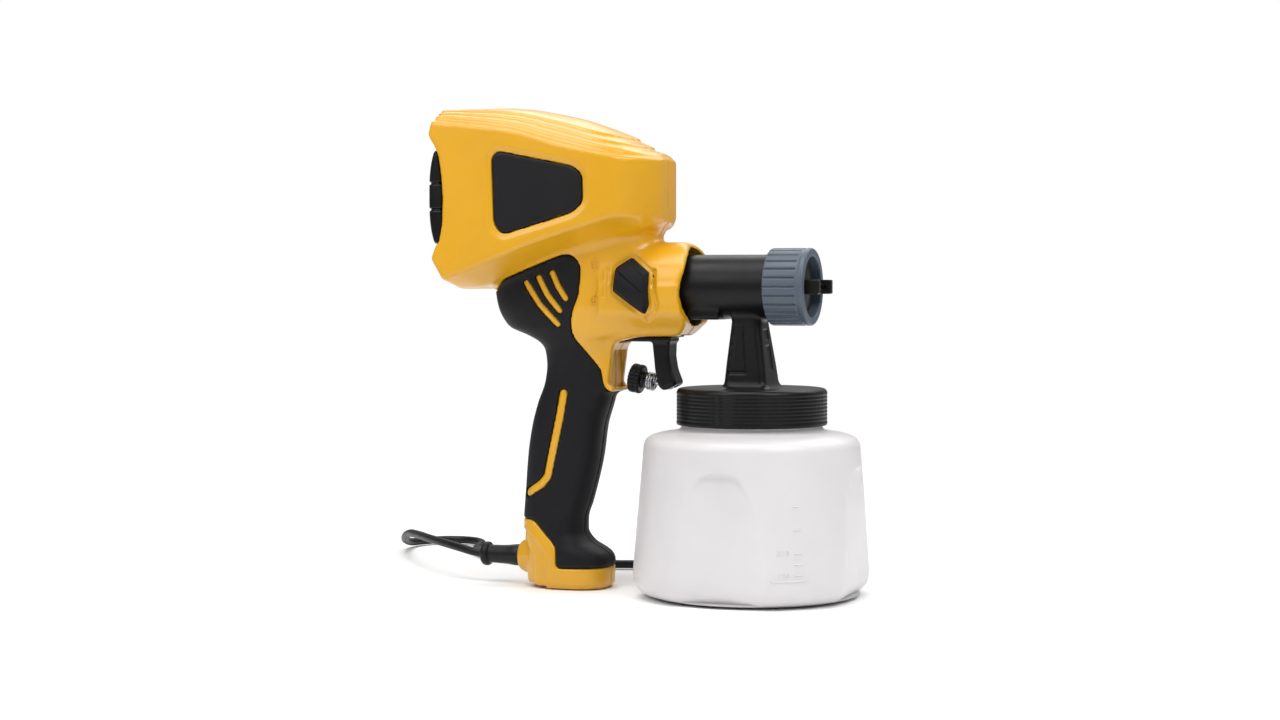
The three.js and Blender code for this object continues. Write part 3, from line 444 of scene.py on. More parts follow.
# ---- mains lead ----
CORD_R = 2.3
COIL_X, COIL_Y, COIL_R = 24, 118, 27.6
LEAD_Z = 15
ENTRY_Y = COIL_Y - COIL_R - 2 * CORD_R
TAIL_R = 20.6                    # the last half turn, up to the plug
LYING_Z = CORD_R + 0.1           # height of the lead where it lies on the floor
LEAD_ROUTE = [(-91.8, 0, LEAD_Z), (-97.5, 0.2, 15.7), (-107, 3, 17.2), (-120, 11, 18.3),
              (-136, 25, 18.6), (-151, 42, 18.2), (-166, 62, 16.4), (-180, 84, 12), (-191, 106, 6.8),
              (-196.8, 127.4, 3), (-194, 140.4, LYING_Z), (-186.1, 149.4, LYING_Z),
              (-175, 152.6, LYING_Z), (-163.9, 149.4, LYING_Z), (-156, 140.5, LYING_Z),
              (-151.8, 128, LYING_Z), (-146.8, 112, LYING_Z), (-136, 96, LYING_Z),
              (-120, 83, LYING_Z), (-99, 74, LYING_Z), (-73, 70.5, LYING_Z), (-44, 73.5, LYING_Z),
              (-18, 82, LYING_Z), (5.6, ENTRY_Y, LYING_Z)]
PLUG_X, PLUG_Y, PLUG_Z = COIL_X + 5.3, COIL_Y - TAIL_R, 23
COIL_TURNS = 8.5


def coil_points():
    """Turns of the coil, seen from above anticlockwise, in three layers of three."""
    pitch = 2 * CORD_R
    lanes = [(1, 0), (0, 0), (-1, 0), (-1, 1), (0, 1), (1, 1), (1, 2), (0, 2), (-1, 2)]
    steps = 28
    points = []
    total = int(COIL_TURNS * steps)
    for i in range(total + 1):
        turn = i / steps
        lane = min(int(turn), len(lanes) - 1)
        following = min(lane + 1, len(lanes) - 1)
        blend = max(0.0, (turn - lane - 0.8) / 0.2)
        blend = blend * blend * (3 - 2 * blend)
        side = lanes[lane][0] * (1 - blend) + lanes[following][0] * blend
        layer = lanes[lane][1] * (1 - blend) + lanes[following][1] * blend
        radius = COIL_R + side * pitch
        angle = 2 * math.pi * turn - math.pi / 2
        points.append(at(COIL_X + radius * math.cos(angle), COIL_Y + radius * math.sin(angle),
                         CORD_R + 0.1 + layer * pitch))
    return points


def tail_points():
    """From the last turn up over the coil into the plug."""
    last = 5 * CORD_R + 0.1
    points = []
    for i in range(1, 13):
        part = i / 13
        angle = math.pi * (part - 1.5)
        radius = COIL_R - 2 * CORD_R - (COIL_R - 2 * CORD_R - TAIL_R) * min(1, part * 2)
        height = last + (PLUG_Z - last) * (3 * part ** 2 - 2 * part ** 3)
        points.append(at(COIL_X + radius * math.cos(angle), COIL_Y + radius * math.sin(angle), height))
    points.append(at(COIL_X + 1.5, PLUG_Y, PLUG_Z))
    points.append(at(PLUG_X + 0.3, PLUG_Y, PLUG_Z))
    return points


def make_lead():
    run = smooth_through([at(*p) for p in LEAD_ROUTE], 6)
    bridge = [at(14, ENTRY_Y, LYING_Z)]
    points = [*run, *bridge, *coil_points(), *tail_points()]
    lead = add_tube("mains_lead", points, CORD_R / 1000, 6, "root", "cord_rubber",
                    ["cord_run", "cord_coil", "cord_tail"])


make_lead()


# ---- housing: shared outer form ----
CASING_REAR, CASING_FRONT = -104, 17
NOSE_FROM = -30
casing_side = through([(-104, 247.8), (-58.6, 242.5), (-31, 235), (2, 227.8), (17, 226.6)])
casing_crown = through([(-104, 253.3), (-72, 253.8), (-35, 248), (-11, 240), (5.7, 232.8),
                        (13, 230.4), (15.2, 228), (17, 226.9)])
casing_lower = through([(-104, 161), (-95.5, 164), (-74.5, 171.8), (-40, 185), (-17, 191.9),
                        (3, 197.2), (17, 196.5)])
casing_drop = through([(-104, 3), (-90, 6.5), (-78, 9.5), (0, 9), (12, 5), (17, 2)])
casing_straight = through([(-104, 42.6), (-70, 43.4), (-30, 41), (17, 41)])
NECK_HALF = 22


def nose(x, start, end, power=2.6, root=2.2):
    """Falls from 1 at start to 0 at end as the plan of a rounded nose."""
    t = np.clip((x - start) / (end - start), 0, 1)
    return np.maximum(1 - t ** power, 0) ** (1 / root)


def casing_width(x):
    return casing_straight(x) * nose(x, NOSE_FROM, CASING_FRONT)


def casing_ring(x):
    w = max(0.6, float(casing_width(x)))
    low, side, crown = float(casing_lower(x)), float(casing_side(x)), float(casing_crown(x))
    base = low - float(casing_drop(x))
    hood = min(4, max(0.2, (crown - side) * 0.55))
    inner = max(0.25, w - 5.6)
    half = [(0.1, base), (max(0.15, min(NECK_HALF, w - 4)), base), (w, low), (w, side),
            (max(0.3, w - 4.2), side + 0.8), (inner, side + hood)]
    radii = [0.05, 4, 1.8, 1.8, 1, 1.2]
    for f in (0.75, 0.5, 0.25, 0.02):
        half.append((inner * f, side + hood + (crown - side - hood) * (1 - f * f)))
        radii.append(0.05)
    full = half + [(-y, z) for y, z in reversed(half)]
    return [(x, y, z) for y, z in rounded_outline(full, radii + radii[::-1], 4)]


handle_rear = through([(0, -62.6), (2.2, -64.2), (9, -64.9), (20, -64.8), (37, -64.2),
                       (52, -63.2), (69, -62), (85, -59.6), (98, -56.2), (110, -51.8),
                       (119, -50.6), (127, -51.6), (131, -54.6), (134.4, -61), (139.5, -73),
                       (150, -79), (158, -80.4), (166, -80.6), (184, -74)])
handle_front = through([(0, -17.8), (2.2, -16.4), (14, -16.2), (17.5, -17.4), (20, -20.6),
                        (24, -28), (30, -31.9), (37, -31.6), (44.6, -29), (56, -25.7),
                        (69, -22.6), (87, -20), (104.5, -15.4), (118, -15), (131, -12),
                        (137, 6), (150, 9), (184, 10.8), (191, 12.5)])
handle_width = through([(0, 17.2), (2.2, 18.9), (12, 19), (24, 18), (37, 16.6), (56, 16.4),
                        (87, 16.6), (110, 16.2), (127, 17.4), (139.5, 21), (152, 23),
                        (184, 23.2), (191, 22)])


def handle_ring(z):
    rear, front, b = float(handle_rear(z)), float(handle_front(z)), float(handle_width(z))
    a, mid = (front - rear) / 2, (front + rear) / 2
    ring = []
    for i in range(64):
        s = 2 * math.pi * (i + 0.5) / 64
        c, k = math.cos(s), math.sin(s)
        ring.append((mid + math.copysign(abs(c) ** (2 / 2.7), c) * a,
                     math.copysign(abs(k) ** (2 / 2.7), k) * b, z))
    return ring


SHROUD_R, SHROUD_BORE_R = 23.5, 20.5
SHROUD_SIDE = [(-14, 130), (25.7, 134), (32.3, 142), (30.7, 147), (29.7, 152.1), (29.4, 158),
               (30, 162.3), (32, 170.4), (31.7, 177.1), (30.2, 180.7), (27.5, 183.6), (24, 184.6),
               (-14, 184.6)]
HOOK_SIDE = [(-30, 104.9), (-10.4, 104.9), (-10.4, 106.4), (-13.4, 109.6), (-11, 128),
             (-9, 132.5), (-2, 135), (-30, 140)]
REAR_TRIM = [(-125, 270), (-101, 270), (-101.7, 247.6), (-103.9, 240.5), (-99.4, 233.4),
             (-97.6, 229), (-96.2, 220), (-95.2, 207.7), (-95.6, 194), (-97.6, 184), (-99.4, 182.2),
             (-102.3, 175.3), (-95.4, 164), (-93, 150), (-125, 150)]
GRIP_OUTLINE = [(-96, 36.4), (-56.7, 36.2), (-53.7, 35), (-43.4, 24.3), (-41.5, 21.6),
                (-41, 12.4), (-39.5, 11), (-4, 11), (-4, 104.4), (-13, 105.2), (-15.6, 108.2),
                (-16.6, 112), (-17.2, 116.8), (-25.2, 127.5), (-29.4, 132.6), (-31, 137.4),
                (-31, 142.6), (-29.2, 149), (-26.2, 156.2), (-25.2, 165.3), (-24.9, 171),
                (-26.4, 174.4), (-29.2, 176.9), (-33, 177.7), (-37.4, 176.6), (-52.7, 171),
                (-70.4, 164.3), (-77.4, 158.6), (-96, 158.4)]
BADGE_OUTLINE = [(-63.5, 231.3), (-67.1, 228.1), (-65.9, 192.8), (-61.1, 187.5),
                 (-21.9, 199.0), (-16.7, 204.4), (-17.2, 218.4), (-21.9, 222.9)]
LOCK_OUTLINE = [(-4.6, 170.4), (-5.6, 158.2), (9.6, 146.4), (11.4, 146.2), (13.4, 150.8),
                (13.8, 168), (3.2, 175.8)]
STRIPES = [[(-56.3, 162.5), (-48.5, 151.2), (-38.7, 140.7)],
           [(-48.8, 165.3), (-43.6, 155.8), (-37.0, 148.0)],
           [(-40.9, 167.7), (-37.7, 160.6), (-33.5, 154.4)]]
GRIP_STRIPE = [(-37.5, 104.1), (-39.4, 92), (-43.2, 75), (-46.6, 59.8), (-50, 55.6),
               (-58.5, 50.6)]
FOOT_STEPS = [[(-59, 31), (-57.1, 28.8), (-52.1, 24.5), (-46.7, 18.5), (-46.4, -4)],
              [(-60, 24), (-58, 20.9), (-53.4, 14.6), (-53.2, -4)]]
SCREWS = [(-93, 242), (-90, 174), (8, 214), (-66, 152), (-33, 166), (-42, 98), (-46, 60),
          (-40, 20)]
CLOSED_LOCK = (-16.5, 171.3)
OPEN_LOCK = (-17.1, 153.4)
SHELL_WALL = 2.9
COVER_MID, COVER_HALF = 207.7, 24.9

housing = Grid((-108, -47, -2.4), (41, 47, 260), 0.8)


def outer_form():
    g = housing
    stations = [*np.arange(CASING_REAR, 8, 2.0), *np.arange(8, CASING_FRONT, 0.6)]
    casing = g.from_rings([casing_ring(x) for x in stations])
    heights = [0, 0.8, 2.2, *np.arange(4, 191, 1.6), 191]
    handle = g.from_rings([handle_ring(z) for z in heights])
    body = blend_in(casing, handle, 4.5)
    radial = from_axis(g) - SHROUD_R
    keel = blend_out(np.abs(g.y) - (13 + (SHROUD_R - 13) * step_up(g.z, AXIS_Z - 26, AXIS_Z - 12)),
                     AXIS_Z - 26 - g.z, 3)
    section = blend_in(radial, np.maximum(keel, g.z - AXIS_Z), 3)
    shroud = blend_out(section, side_outline(g, SHROUD_SIDE, 2.5), 1.6)
    body = blend_in(body, shroud, 5)
    hook = blend_out(side_outline(g, HOOK_SIDE, 1.5), np.abs(g.y) - 13, 2.5)
    body = blend_in(body, hook, 4)
    collar = from_axis(g, LEAD_Z) - 8.6 - 0.16 * np.clip(g.x + 66, 0, 8)
    body = blend_in(body, blend_out(collar, np.abs(g.x + 63.2) - 5.2, 3), 2)
    return blend_out(body, -side_outline(g, REAR_TRIM, 2), 1.6)


def hood_terraces(x, y, z):
    """Two raised plates on the hood, one on the other."""
    raised = 0
    for inner, end in ((11.1, 5.7), (16.6, -1.5)):
        half = (casing_straight(x) - inner) * nose(x, end - 26, end, 2.2, 2)
        edge = step_up(half - np.abs(y), -0.35, 0.35) * step_up(end + 0.3 - x, 0, 0.8)
        raised = raised + 1.15 * edge
    above = step_up(z - casing_side(x), 2.0, 3.2)
    return raised * above


def surface_relief(g):
    """How far the yellow surface is pressed in, seen from the side."""
    badge = side_outline(g, BADGE_OUTLINE, 3.5)
    depth = 0.7 * step_down(badge, 1.2, 3.4)
    lock = side_outline(g, LOCK_OUTLINE, 1.5)
    near = g.y < 0
    depth = depth + np.where(near, 0.9 * step_down(lock, 1.2, 2.4), 0)
    groove = line_field([(15.6, 168.4), (16.2, 158), (17.6, 151.4), (16, 147), (11.7, 144)],
                        g.x, g.z, 3.0)
    depth = depth + np.where(near, 1.5 * step_down(groove, -0.9, 0.5), 0)
    for x, z0, z1, deep in ((-12.3, 155, 168.4, 0.85), (-9.5, 152, 170, 0.75)):
        arc = line_field([(x + 0.6, z0), (x, (z0 + z1) / 2), (x + 0.6, z1)], g.x, g.z, 0.9)
        depth = depth + np.where(near, deep * step_down(arc, -0.4, 0.5), 0)
    for line in FOOT_STEPS:
        behind = outline_field([*line, (-80, -4), (-80, line[0][1])], g.x, g.z)
        ahead = from_axis(g, LEAD_Z) - 9.5
        depth = depth + 1.05 * step_down(behind, -0.9, 0.1) * step_up(ahead, -0.6, 0.6)
    return depth


def screw_seat(x, z):
    """Y of the step that a screw's head sits on."""
    return (float(casing_width(x)) if z > 180 else float(handle_width(z))) - 7


def build_housing():
    g = housing
    body = outer_form()
    grip = side_outline(g, GRIP_OUTLINE, 2.2)
    badge = side_outline(g, BADGE_OUTLINE, 3.5)
    stripes = line_field(GRIP_STRIPE, g.x, g.z, 5.0)
    for line in STRIPES:
        stripes = np.minimum(stripes, line_field(line, g.x, g.z, 3.9))

    yellow = body + surface_relief(g) - hood_terraces(g.x, g.y, g.z)
    yellow = np.maximum(yellow, np.minimum(-grip, body + 2.3))
    yellow = np.minimum(yellow, np.maximum(np.maximum(stripes + 0.25, body + 0.55), -(body + 3)))
    yellow = np.maximum(yellow, np.minimum(-badge, body + 2.6))
    hollow = body + SHELL_WALL + 2.2 * step_up(-grip, -3, 1)
    hollow = np.maximum(hollow, -np.maximum(-20 - g.x, g.z - 131))
    bore = np.maximum(from_axis(g) - SHROUD_BORE_R, -8 - g.x)
    slot = block(g, 8.4, 17.6, 8.2, 136, 10)
    heel = block(g, -16, 10, 8.2, 136.8, 5.2)
    channel = block(g, -9.6, 4.2, 8.5, 117, 10)
    window = block(g, -94, 6, 34, COVER_MID, 20.7)
    lead_hole = np.maximum(from_axis(g, LEAD_Z) - 6.3, np.abs(g.x + 61) - 11)
    for opening in (hollow, bore, slot, heel, channel, window, lead_hole):
        yellow = np.maximum(yellow, -opening)
    holes = np.inf
    for x, z in SCREWS:
        shaft = np.sqrt((g.x - x) ** 2 + (g.z - z) ** 2) - 3.5
        holes = np.minimum(holes, np.maximum(shaft, screw_seat(x, z) - g.y))
    yellow = np.maximum(yellow, -holes)

    rubber = blend_out(grip + 0.2, body - 0.25, 1.5)
    rubber = np.maximum(rubber, -(body + 2))
    rubber = np.maximum(rubber, -stripes)
    rubber = np.maximum(rubber, -holes)
    plate = blend_out(badge + 0.3, body + 0.35, 0.8)
    plate = np.maximum(plate, -(body + 2))

    for side, sign in (("right", 1), ("left", -1)):
        half = sign * g.y + 0.15
        field_piece(f"{side}_shell", g, blend_out(yellow, half, 0.2), "root", "yellow_shell",
                    f"{side}_housing_shell")
        field_piece(f"{side}_overmould", g, blend_out(rubber, half, 0.5), "root", "grip_rubber",
                    f"{side}_grip_overmould")
        field_piece(f"{side}_badge_plate", g, np.maximum(plate, sign * g.y), "root",
                    "badge_plastic", f"{side}_badge")
    return body


housing_form = build_housing()


def side_of_housing(x, z):
    """Y of the housing's near surface, from the sampled form."""
    g = housing
    i = int(round((x - g.low[0]) / g.step))
    k = int(round((z - g.low[2]) / g.step))
    column = housing_form[i, :, k]
    j = int(np.argmax(column < 0))
    a, b = column[j - 1], column[j]
    return float(g.low[1] + (j - 1 + a / (a - b)) * g.step)


def padlock_mark(name, x, z, shift):
    """Small raised padlock: a body outline and its shackle."""
    rail = [(x - 1.9, z - 1.6), (x + 1.9, z - 1.6), (x + 1.9, z + 1.2), (x - 1.9, z + 1.2),
            (x - 1.9, z - 1.6)]
    shackle = [(x + shift - 1.2 * math.cos(math.pi * i / 8), z + 2.4 + 1.3 * math.sin(math.pi * i / 8))
               for i in range(9)]
    shackle = [(x + shift - 1.2, z + 1.2), *shackle, (x + shift + 1.2, z + (1.2 if shift == 0 else 2.0))]
    for part, line in (("body", rail), ("shackle", shackle)):
        points = [at(a, side_of_housing(a, b) - 0.16, b) for a, b in line]
        add_tube(f"{name}_{part}", points, 0.0004, 2, "root", "yellow_shell")


padlock_mark("closed_padlock", *CLOSED_LOCK, 0)
padlock_mark("open_padlock", *OPEN_LOCK, 1.4)


# ---- pieces turned about an axis ----
def revolved(profile, count, place, change=None):
    """Closed skin of a closed (radius, height) profile; place turns them into points."""
    points, faces = [], []
    n = len(profile)
    for i in range(count):
        angle = 2 * math.pi * i / count
        for r, h in profile:
            points.append(place(change(angle, r, h) if change else r, angle, h))
    for i in range(count):
        for j in range(n):
            a, b = i * n + j, i * n + (j + 1) % n
            c, d = ((i + 1) % count) * n + (j + 1) % n, ((i + 1) % count) * n + j
            faces.append((a, b, c, d))
    return points, faces


def about_x(y, z):
    return lambda r, angle, h: (h, y + r * math.cos(angle), z + r * math.sin(angle))


# ---- spray head: barrel, pillar and lid ----
BARREL_R = 16.7
LID_R, LID_LOW, LID_TOP = 39.3, 88.7, 108
PILLAR_PANEL = [(52.2, 116), (62.8, 116), (60, 141), (55.2, 141)]


def rounded_box_2d(a, b, half_a, half_b, r):
    qa, qb = np.abs(a) - (half_a - r), np.abs(b) - (half_b - r)
    outside = np.sqrt(np.maximum(qa, 0) ** 2 + np.maximum(qb, 0) ** 2)
    return outside + np.minimum(np.maximum(qa, qb), 0) - r


def build_spray_head():
    g = Grid((-4, -41, 86.5), (103, 41, 179.5), 0.62)
    radial = from_axis(g)
    barrel = blend_out(radial - BARREL_R, np.abs(g.x - 41.25) - 43.25, 1.2)
    key = blend_out(rounded_box_2d(g.y, g.z - 149, 12.2, 5.6, 1.6), np.abs(g.x - 38.5) - 9.1, 1)
    rise = step_up(g.z, 107, 152)
    t = 0.35 * rise + 0.65 * np.clip((g.z - 107) / 45, 0, 1)
    pillar = rounded_box_2d(g.x - CUP_X + 1.2 * t, g.y, 11.6 - 4.6 * t, 14 - 5.4 * t, 3.4)
    pillar = np.maximum(pillar, np.abs(g.z - 128) - 26)
    across = np.sqrt((g.x - CUP_X) ** 2 + g.y ** 2)
    lid = blend_out(across - LID_R, g.z - LID_TOP, 3.2)
    lid = blend_out(lid, LID_LOW - g.z, 1.2)
    for z in np.arange(91.4, 104.5, 1.85):
        lid = lid + 0.42 * step_down(np.abs(g.z - z), 0.15, 0.75) * step_up(across, 37, 38)
    head = blend_in(barrel, key, 0.8)
    head = blend_in(head, pillar, 3.2)
    head = blend_in(head, lid, 4.5)
    panel = side_outline(g, PILLAR_PANEL, 0.8)
    slope = np.where(np.abs(g.y) > 6, 1, 0) * np.where(g.z > 110, 1, 0)
    head = head + 0.9 * step_down(panel, -0.4, 0.3) * slope
    base_line = line_field([(52.6, 116.2), (62.4, 116.2)], g.x, g.z, 0.9)
    head = head + 0.7 * step_down(base_line, -0.3, 0.5) * slope
    for low, high in ((117.5, 130), (133, 138.5)):
        clip = rounded_box_2d(g.y, g.z - (low + high) / 2, 3.6, (high - low) / 2, 0.6)
        head = head + 0.6 * step_down(clip, -0.4, 0.4) * np.where(g.x > CUP_X + 4, 1, 0)
    inside = np.maximum(across - 37.3, g.z - 105.4)
    bore = np.maximum(radial - 14, g.x - 41)
    seat = np.maximum(radial - 8.4, 80.5 - g.x)
    needle_way = radial - 2.1
    cross_slot = block(g, 13.1, 2.7, 20, AXIS_Z, 2.4)
    web_slot = block(g, 1.5, 6.5, 8.6, 145, 5)
    for opening in (inside, bore, seat, needle_way, cross_slot, web_slot):
        head = np.maximum(head, -opening)
    field_piece("spray_head_moulding", g, head, "root", "black_plastic", "spray_head")


build_spray_head()


# ---- locking ring ----
RING_FRONT = 95.2


def build_locking_ring():
    g = Grid((71.5, -22, AXIS_Z - 22), (97, 22, AXIS_Z + 22), 0.42)
    radial = from_axis(g)
    angle = np.arctan2(g.z - AXIS_Z, g.y)
    ridge = step_up(np.abs(np.sin(13 * angle)), 0.02, 0.5)
    fluted = step_up(g.x, 73.2, 74.2) * step_down(g.x, 90.2, 91.2)
    outer = radial - 20.05 + 1.0 * (1 - ridge) * fluted
    ring = blend_out(outer, g.x - RING_FRONT, 1.4)
    ring = blend_out(ring, 73.3 - g.x, 1.2)
    ring = ring + 0.3 * step_down(np.abs(g.x - 91.6), 0.2, 0.8) * step_up(radial, 18, 19)
    bore = np.maximum(radial - 17.1, g.x - 88.7)
    mouth = radial - 15.8
    ring = blend_out(ring, -mouth, 0.8)
    ring = np.maximum(ring, -bore)
    field_piece("locking_ring_moulding", g, ring, "locking_ring", "ring_plastic",
                "locking_ring")


build_locking_ring()


# ---- air cap and nozzle ----
HORN_TIP = 102


def build_air_cap():
    g = Grid((84.4, -18.5, AXIS_Z - 18.5), (103.6, 18.5, AXIS_Z + 18.5), 0.36)
    y, z = g.y, g.z - AXIS_Z
    radial = np.sqrt(y ** 2 + z ** 2)
    flange = blend_out(radial - 16.5, np.abs(g.x - 86.75) - 1.35, 0.5)
    dish = 91 + 2.0 * np.clip((14.3 - radial) / 11, 0, 1)
    plate = np.maximum(np.maximum(radial - 14.3, g.x - dish), 87 - g.x)
    cap = np.minimum(flange, blend_out(plate, radial - 14.3, 0.8))
    horns = rounded_box_2d(z, np.abs(y) - 10.6, 3.7, 2.9, 0.5)
    horns = blend_out(horns, g.x - HORN_TIP, 0.9)
    horns = np.maximum(horns, 88 - g.x)
    lean = (g.x - 90) * 0.16
    horns = np.maximum(horns, 7.4 + lean - np.abs(y))
    cap = blend_in(cap, horns, 0.8)
    cap = cap + 0.35 * step_down(np.abs(radial - 12), 0.2, 0.7) * np.where(g.x < 94, 1, 0)
    for x in (94.9, 97.9):
        jet = np.maximum(np.sqrt((g.x - x) ** 2 + z ** 2) - (0.6 if x < 96 else 1.25), np.abs(y) - 10.8)
        cap = np.maximum(cap, -np.maximum(jet, 6 - np.abs(y)))
    centre = np.maximum(radial - 3.4, 84 - g.x)
    back = np.maximum(radial - 9, g.x - 88.4 - np.clip((9 - radial) / 2, 0, 2))
    for opening in (centre, back):
        cap = np.maximum(cap, -opening)
    field_piece("air_cap_moulding", g, cap, "air_cap", "black_plastic", "air_cap")


build_air_cap()

nozzle_profile = rounded_outline([(1.2, 80.8), (8, 80.8), (8, 84.6), (5, 88), (2.9, 91),
                                  (2.6, 96.2), (1.5, 96.2), (1.2, 90)], 0.4, 4)
add_piece("nozzle_tip", *revolved(nozzle_profile, 48, about_x(0, AXIS_Z)), "root", "steel",
          ["fluid_nozzle"], 40)


# ---- trigger, knob and springs ----
KNOB_TILT = math.radians(10)
KNOB_REAR = (-4.6, 112.4)
PIVOT_X, PIVOT_Z = 20, 179
TRIGGER_BLADE = [(8.8, 133), (9.8, 124), (10.6, 116), (12.2, 108.4), (14.8, 105.8), (18, 106.8),
                 (22, 108.8), (22.4, 110.6), (19.8, 117), (18.6, 124), (19, 133)]


def along_knob(d, side=0.0, rise=0.0):
    """A point d along the screw from the knob's rear, moved sideways and square to it."""
    return (KNOB_REAR[0] + math.cos(KNOB_TILT) * d + math.sin(KNOB_TILT) * rise, side,
            KNOB_REAR[1] - math.sin(KNOB_TILT) * d + math.cos(KNOB_TILT) * rise)


def knob_axes(g):
    dx, dz = g.x - KNOB_REAR[0], g.z - KNOB_REAR[1]
    along = dx * math.cos(KNOB_TILT) - dz * math.sin(KNOB_TILT)
    rise = dx * math.sin(KNOB_TILT) + dz * math.cos(KNOB_TILT)
    return along, rise


def build_trigger():
    g = Grid((-10, -21, 104), (26.6, 21, 182), 0.5)
    blade = side_outline(g, TRIGGER_BLADE, 1.6)
    blade = blend_out(blade, np.abs(g.y) - 7, 2.2)
    hollow_face = line_field([(20.6, 132), (20.2, 124), (21.6, 117), (24.4, 110)], g.x, g.z, 2.4)
    blade = blend_out(blade, -np.maximum(hollow_face, np.abs(g.y) - 5), 1.0)
    plate = blend_out(rounded_box_2d(g.x - 5.4, g.z - 133.1, 14, 1.5, 0.6), np.abs(g.y) - 7.8, 0.8)
    heel = np.maximum(rounded_box_2d(g.x + 7.1, g.z - 134.5, 1.5, 2.9, 0.4), np.abs(g.y) - 4)
    radial = from_axis(g)
    loop = blend_out(np.abs(radial - 18.6) - 1.2, np.abs(g.x - 19.7) - 3.3, 0.6)
    web = np.maximum(rounded_box_2d(g.x - 17.5, g.z - 138.6, 5.5, 4.7, 0.5), np.abs(g.y) - 6)
    pivot = np.sqrt((g.x - PIVOT_X) ** 2 + (g.z - PIVOT_Z) ** 2)
    ear = np.maximum(pivot - 2.1, np.abs(g.y) - 5)
    body = blend_in(blade, plate, 1.5)
    for extra in (heel, web, loop, ear):
        body = blend_in(body, extra, 0.8)
    body = np.maximum(body, 17.4 - radial)
    body = np.maximum(body, 1.2 - pivot)
    along, rise = knob_axes(g)
    screw_hole = np.sqrt(rise ** 2 + g.y ** 2) - 2
    body = np.maximum(body, -np.maximum(np.maximum(screw_hole, 6 - along), along - 26))
    field_piece("trigger_moulding", g, body, "trigger", "black_plastic", "trigger")


def build_knob():
    g = Grid((-8, -9, 101.5), (7, 9, 122), 0.3)
    along, rise = knob_axes(g)
    radial = np.sqrt(rise ** 2 + g.y ** 2)
    angle = np.arctan2(rise, g.y + 1e-6)
    tooth = step_up(np.abs(np.sin(11 * angle)), 0.05, 0.7)
    rim = radial - 7.7 + 0.75 * (1 - tooth)
    knob = blend_out(rim, np.abs(along - 3.2) - 3.2, 1.2)
    groove = step_down(np.abs(along - 3.4), 0.2, 0.6)
    knob = knob + 0.4 * groove * step_up(radial, 6, 7)
    neck = blend_out(radial - 4.7, np.abs(along - 6.6) - 1.5, 0.6)
    knob = blend_in(knob, neck, 0.8)
    dimple = np.maximum(radial - 4.4, along - 0.9)
    knob = blend_out(knob, -dimple, 0.5)
    knob = np.maximum(knob, -np.maximum(radial - 1.7, 2 - along))
    field_piece("flow_knob_moulding", g, knob, "flow_knob", "black_plastic", "flow_knob")


def screw_points():
    profile = rounded_outline([(0.02, 2.3), (1.6, 2.3), (1.6, 24), (0.02, 24)], 0.3, 4)
    return revolved(profile, 24, lambda r, a, h: along_knob(h, r * math.cos(a), r * math.sin(a)))


def coil_spring(name, centre, turns, radius, wire, body, node):
    """Round wire coil with closed ends; centre(part, side, rise) gives points about its axis."""
    steps = 24
    total = int(turns * steps)
    points = []
    for i in range(total + 1):
        part = i / total
        squeezed = part + 0.5 / turns * math.sin(2 * math.pi * part) * 0.35
        angle = 2 * math.pi * i / steps
        points.append(at(*centre(squeezed, radius * math.cos(angle), radius * math.sin(angle))))
    add_tube(name, points, wire / 1000, 4, body, "steel", [node])


build_trigger()
build_knob()
add_piece("flow_adjusting_screw", *screw_points(), "flow_knob", "steel", ["flow_screw"], 40)
coil_spring("flow_coil_spring", lambda t, s, r: along_knob(8.9 + 5.2 * t, s, r), 3.5, 4.3, 0.55,
            "trigger", "flow_spring")
coil_spring("return_coil_spring", lambda t, s, r: (-4.4 + 15.7 * t, s, 141.4 + r), 9, 1.75, 0.4,
            "root", "trigger_return_spring")


# ---- lock button ----
def build_lock_button():
    g = Grid((-7.5, -29.5, 144.5), (15.5, -18.5, 177.5), 0.32)
    radial = from_axis(g)
    outline = side_outline(g, LOCK_OUTLINE, 1.2)
    top = SHROUD_R + 4.4 - 1.7 * step_down(-outline, 0.2, 2.6)
    ridge = ((g.x + 3.3) * 10.3 + (g.z - 168.6) * 12.8) / math.hypot(10.3, 12.8)
    inner = step_up(-outline, 2.2, 2.8)
    top = top - 0.75 * inner * step_down(np.abs(ridge), 0.15, 0.8)
    top = top - 0.45 * inner * step_up(ridge, 0, 0.8) * np.clip(ridge / 8, 0, 1)
    cap = np.maximum(blend_out(outline, radial - top, 0.6), 24.1 - radial)
    stem = np.maximum(np.maximum(np.abs(g.x - 3) - 3, np.abs(g.z - AXIS_Z) - 3.6),
                      np.abs(radial - 22.5) - 2.3)
    field_piece("lock_button_moulding", g, np.minimum(cap, stem), "lock", "grip_rubber",
                "lock_button")


build_lock_button()


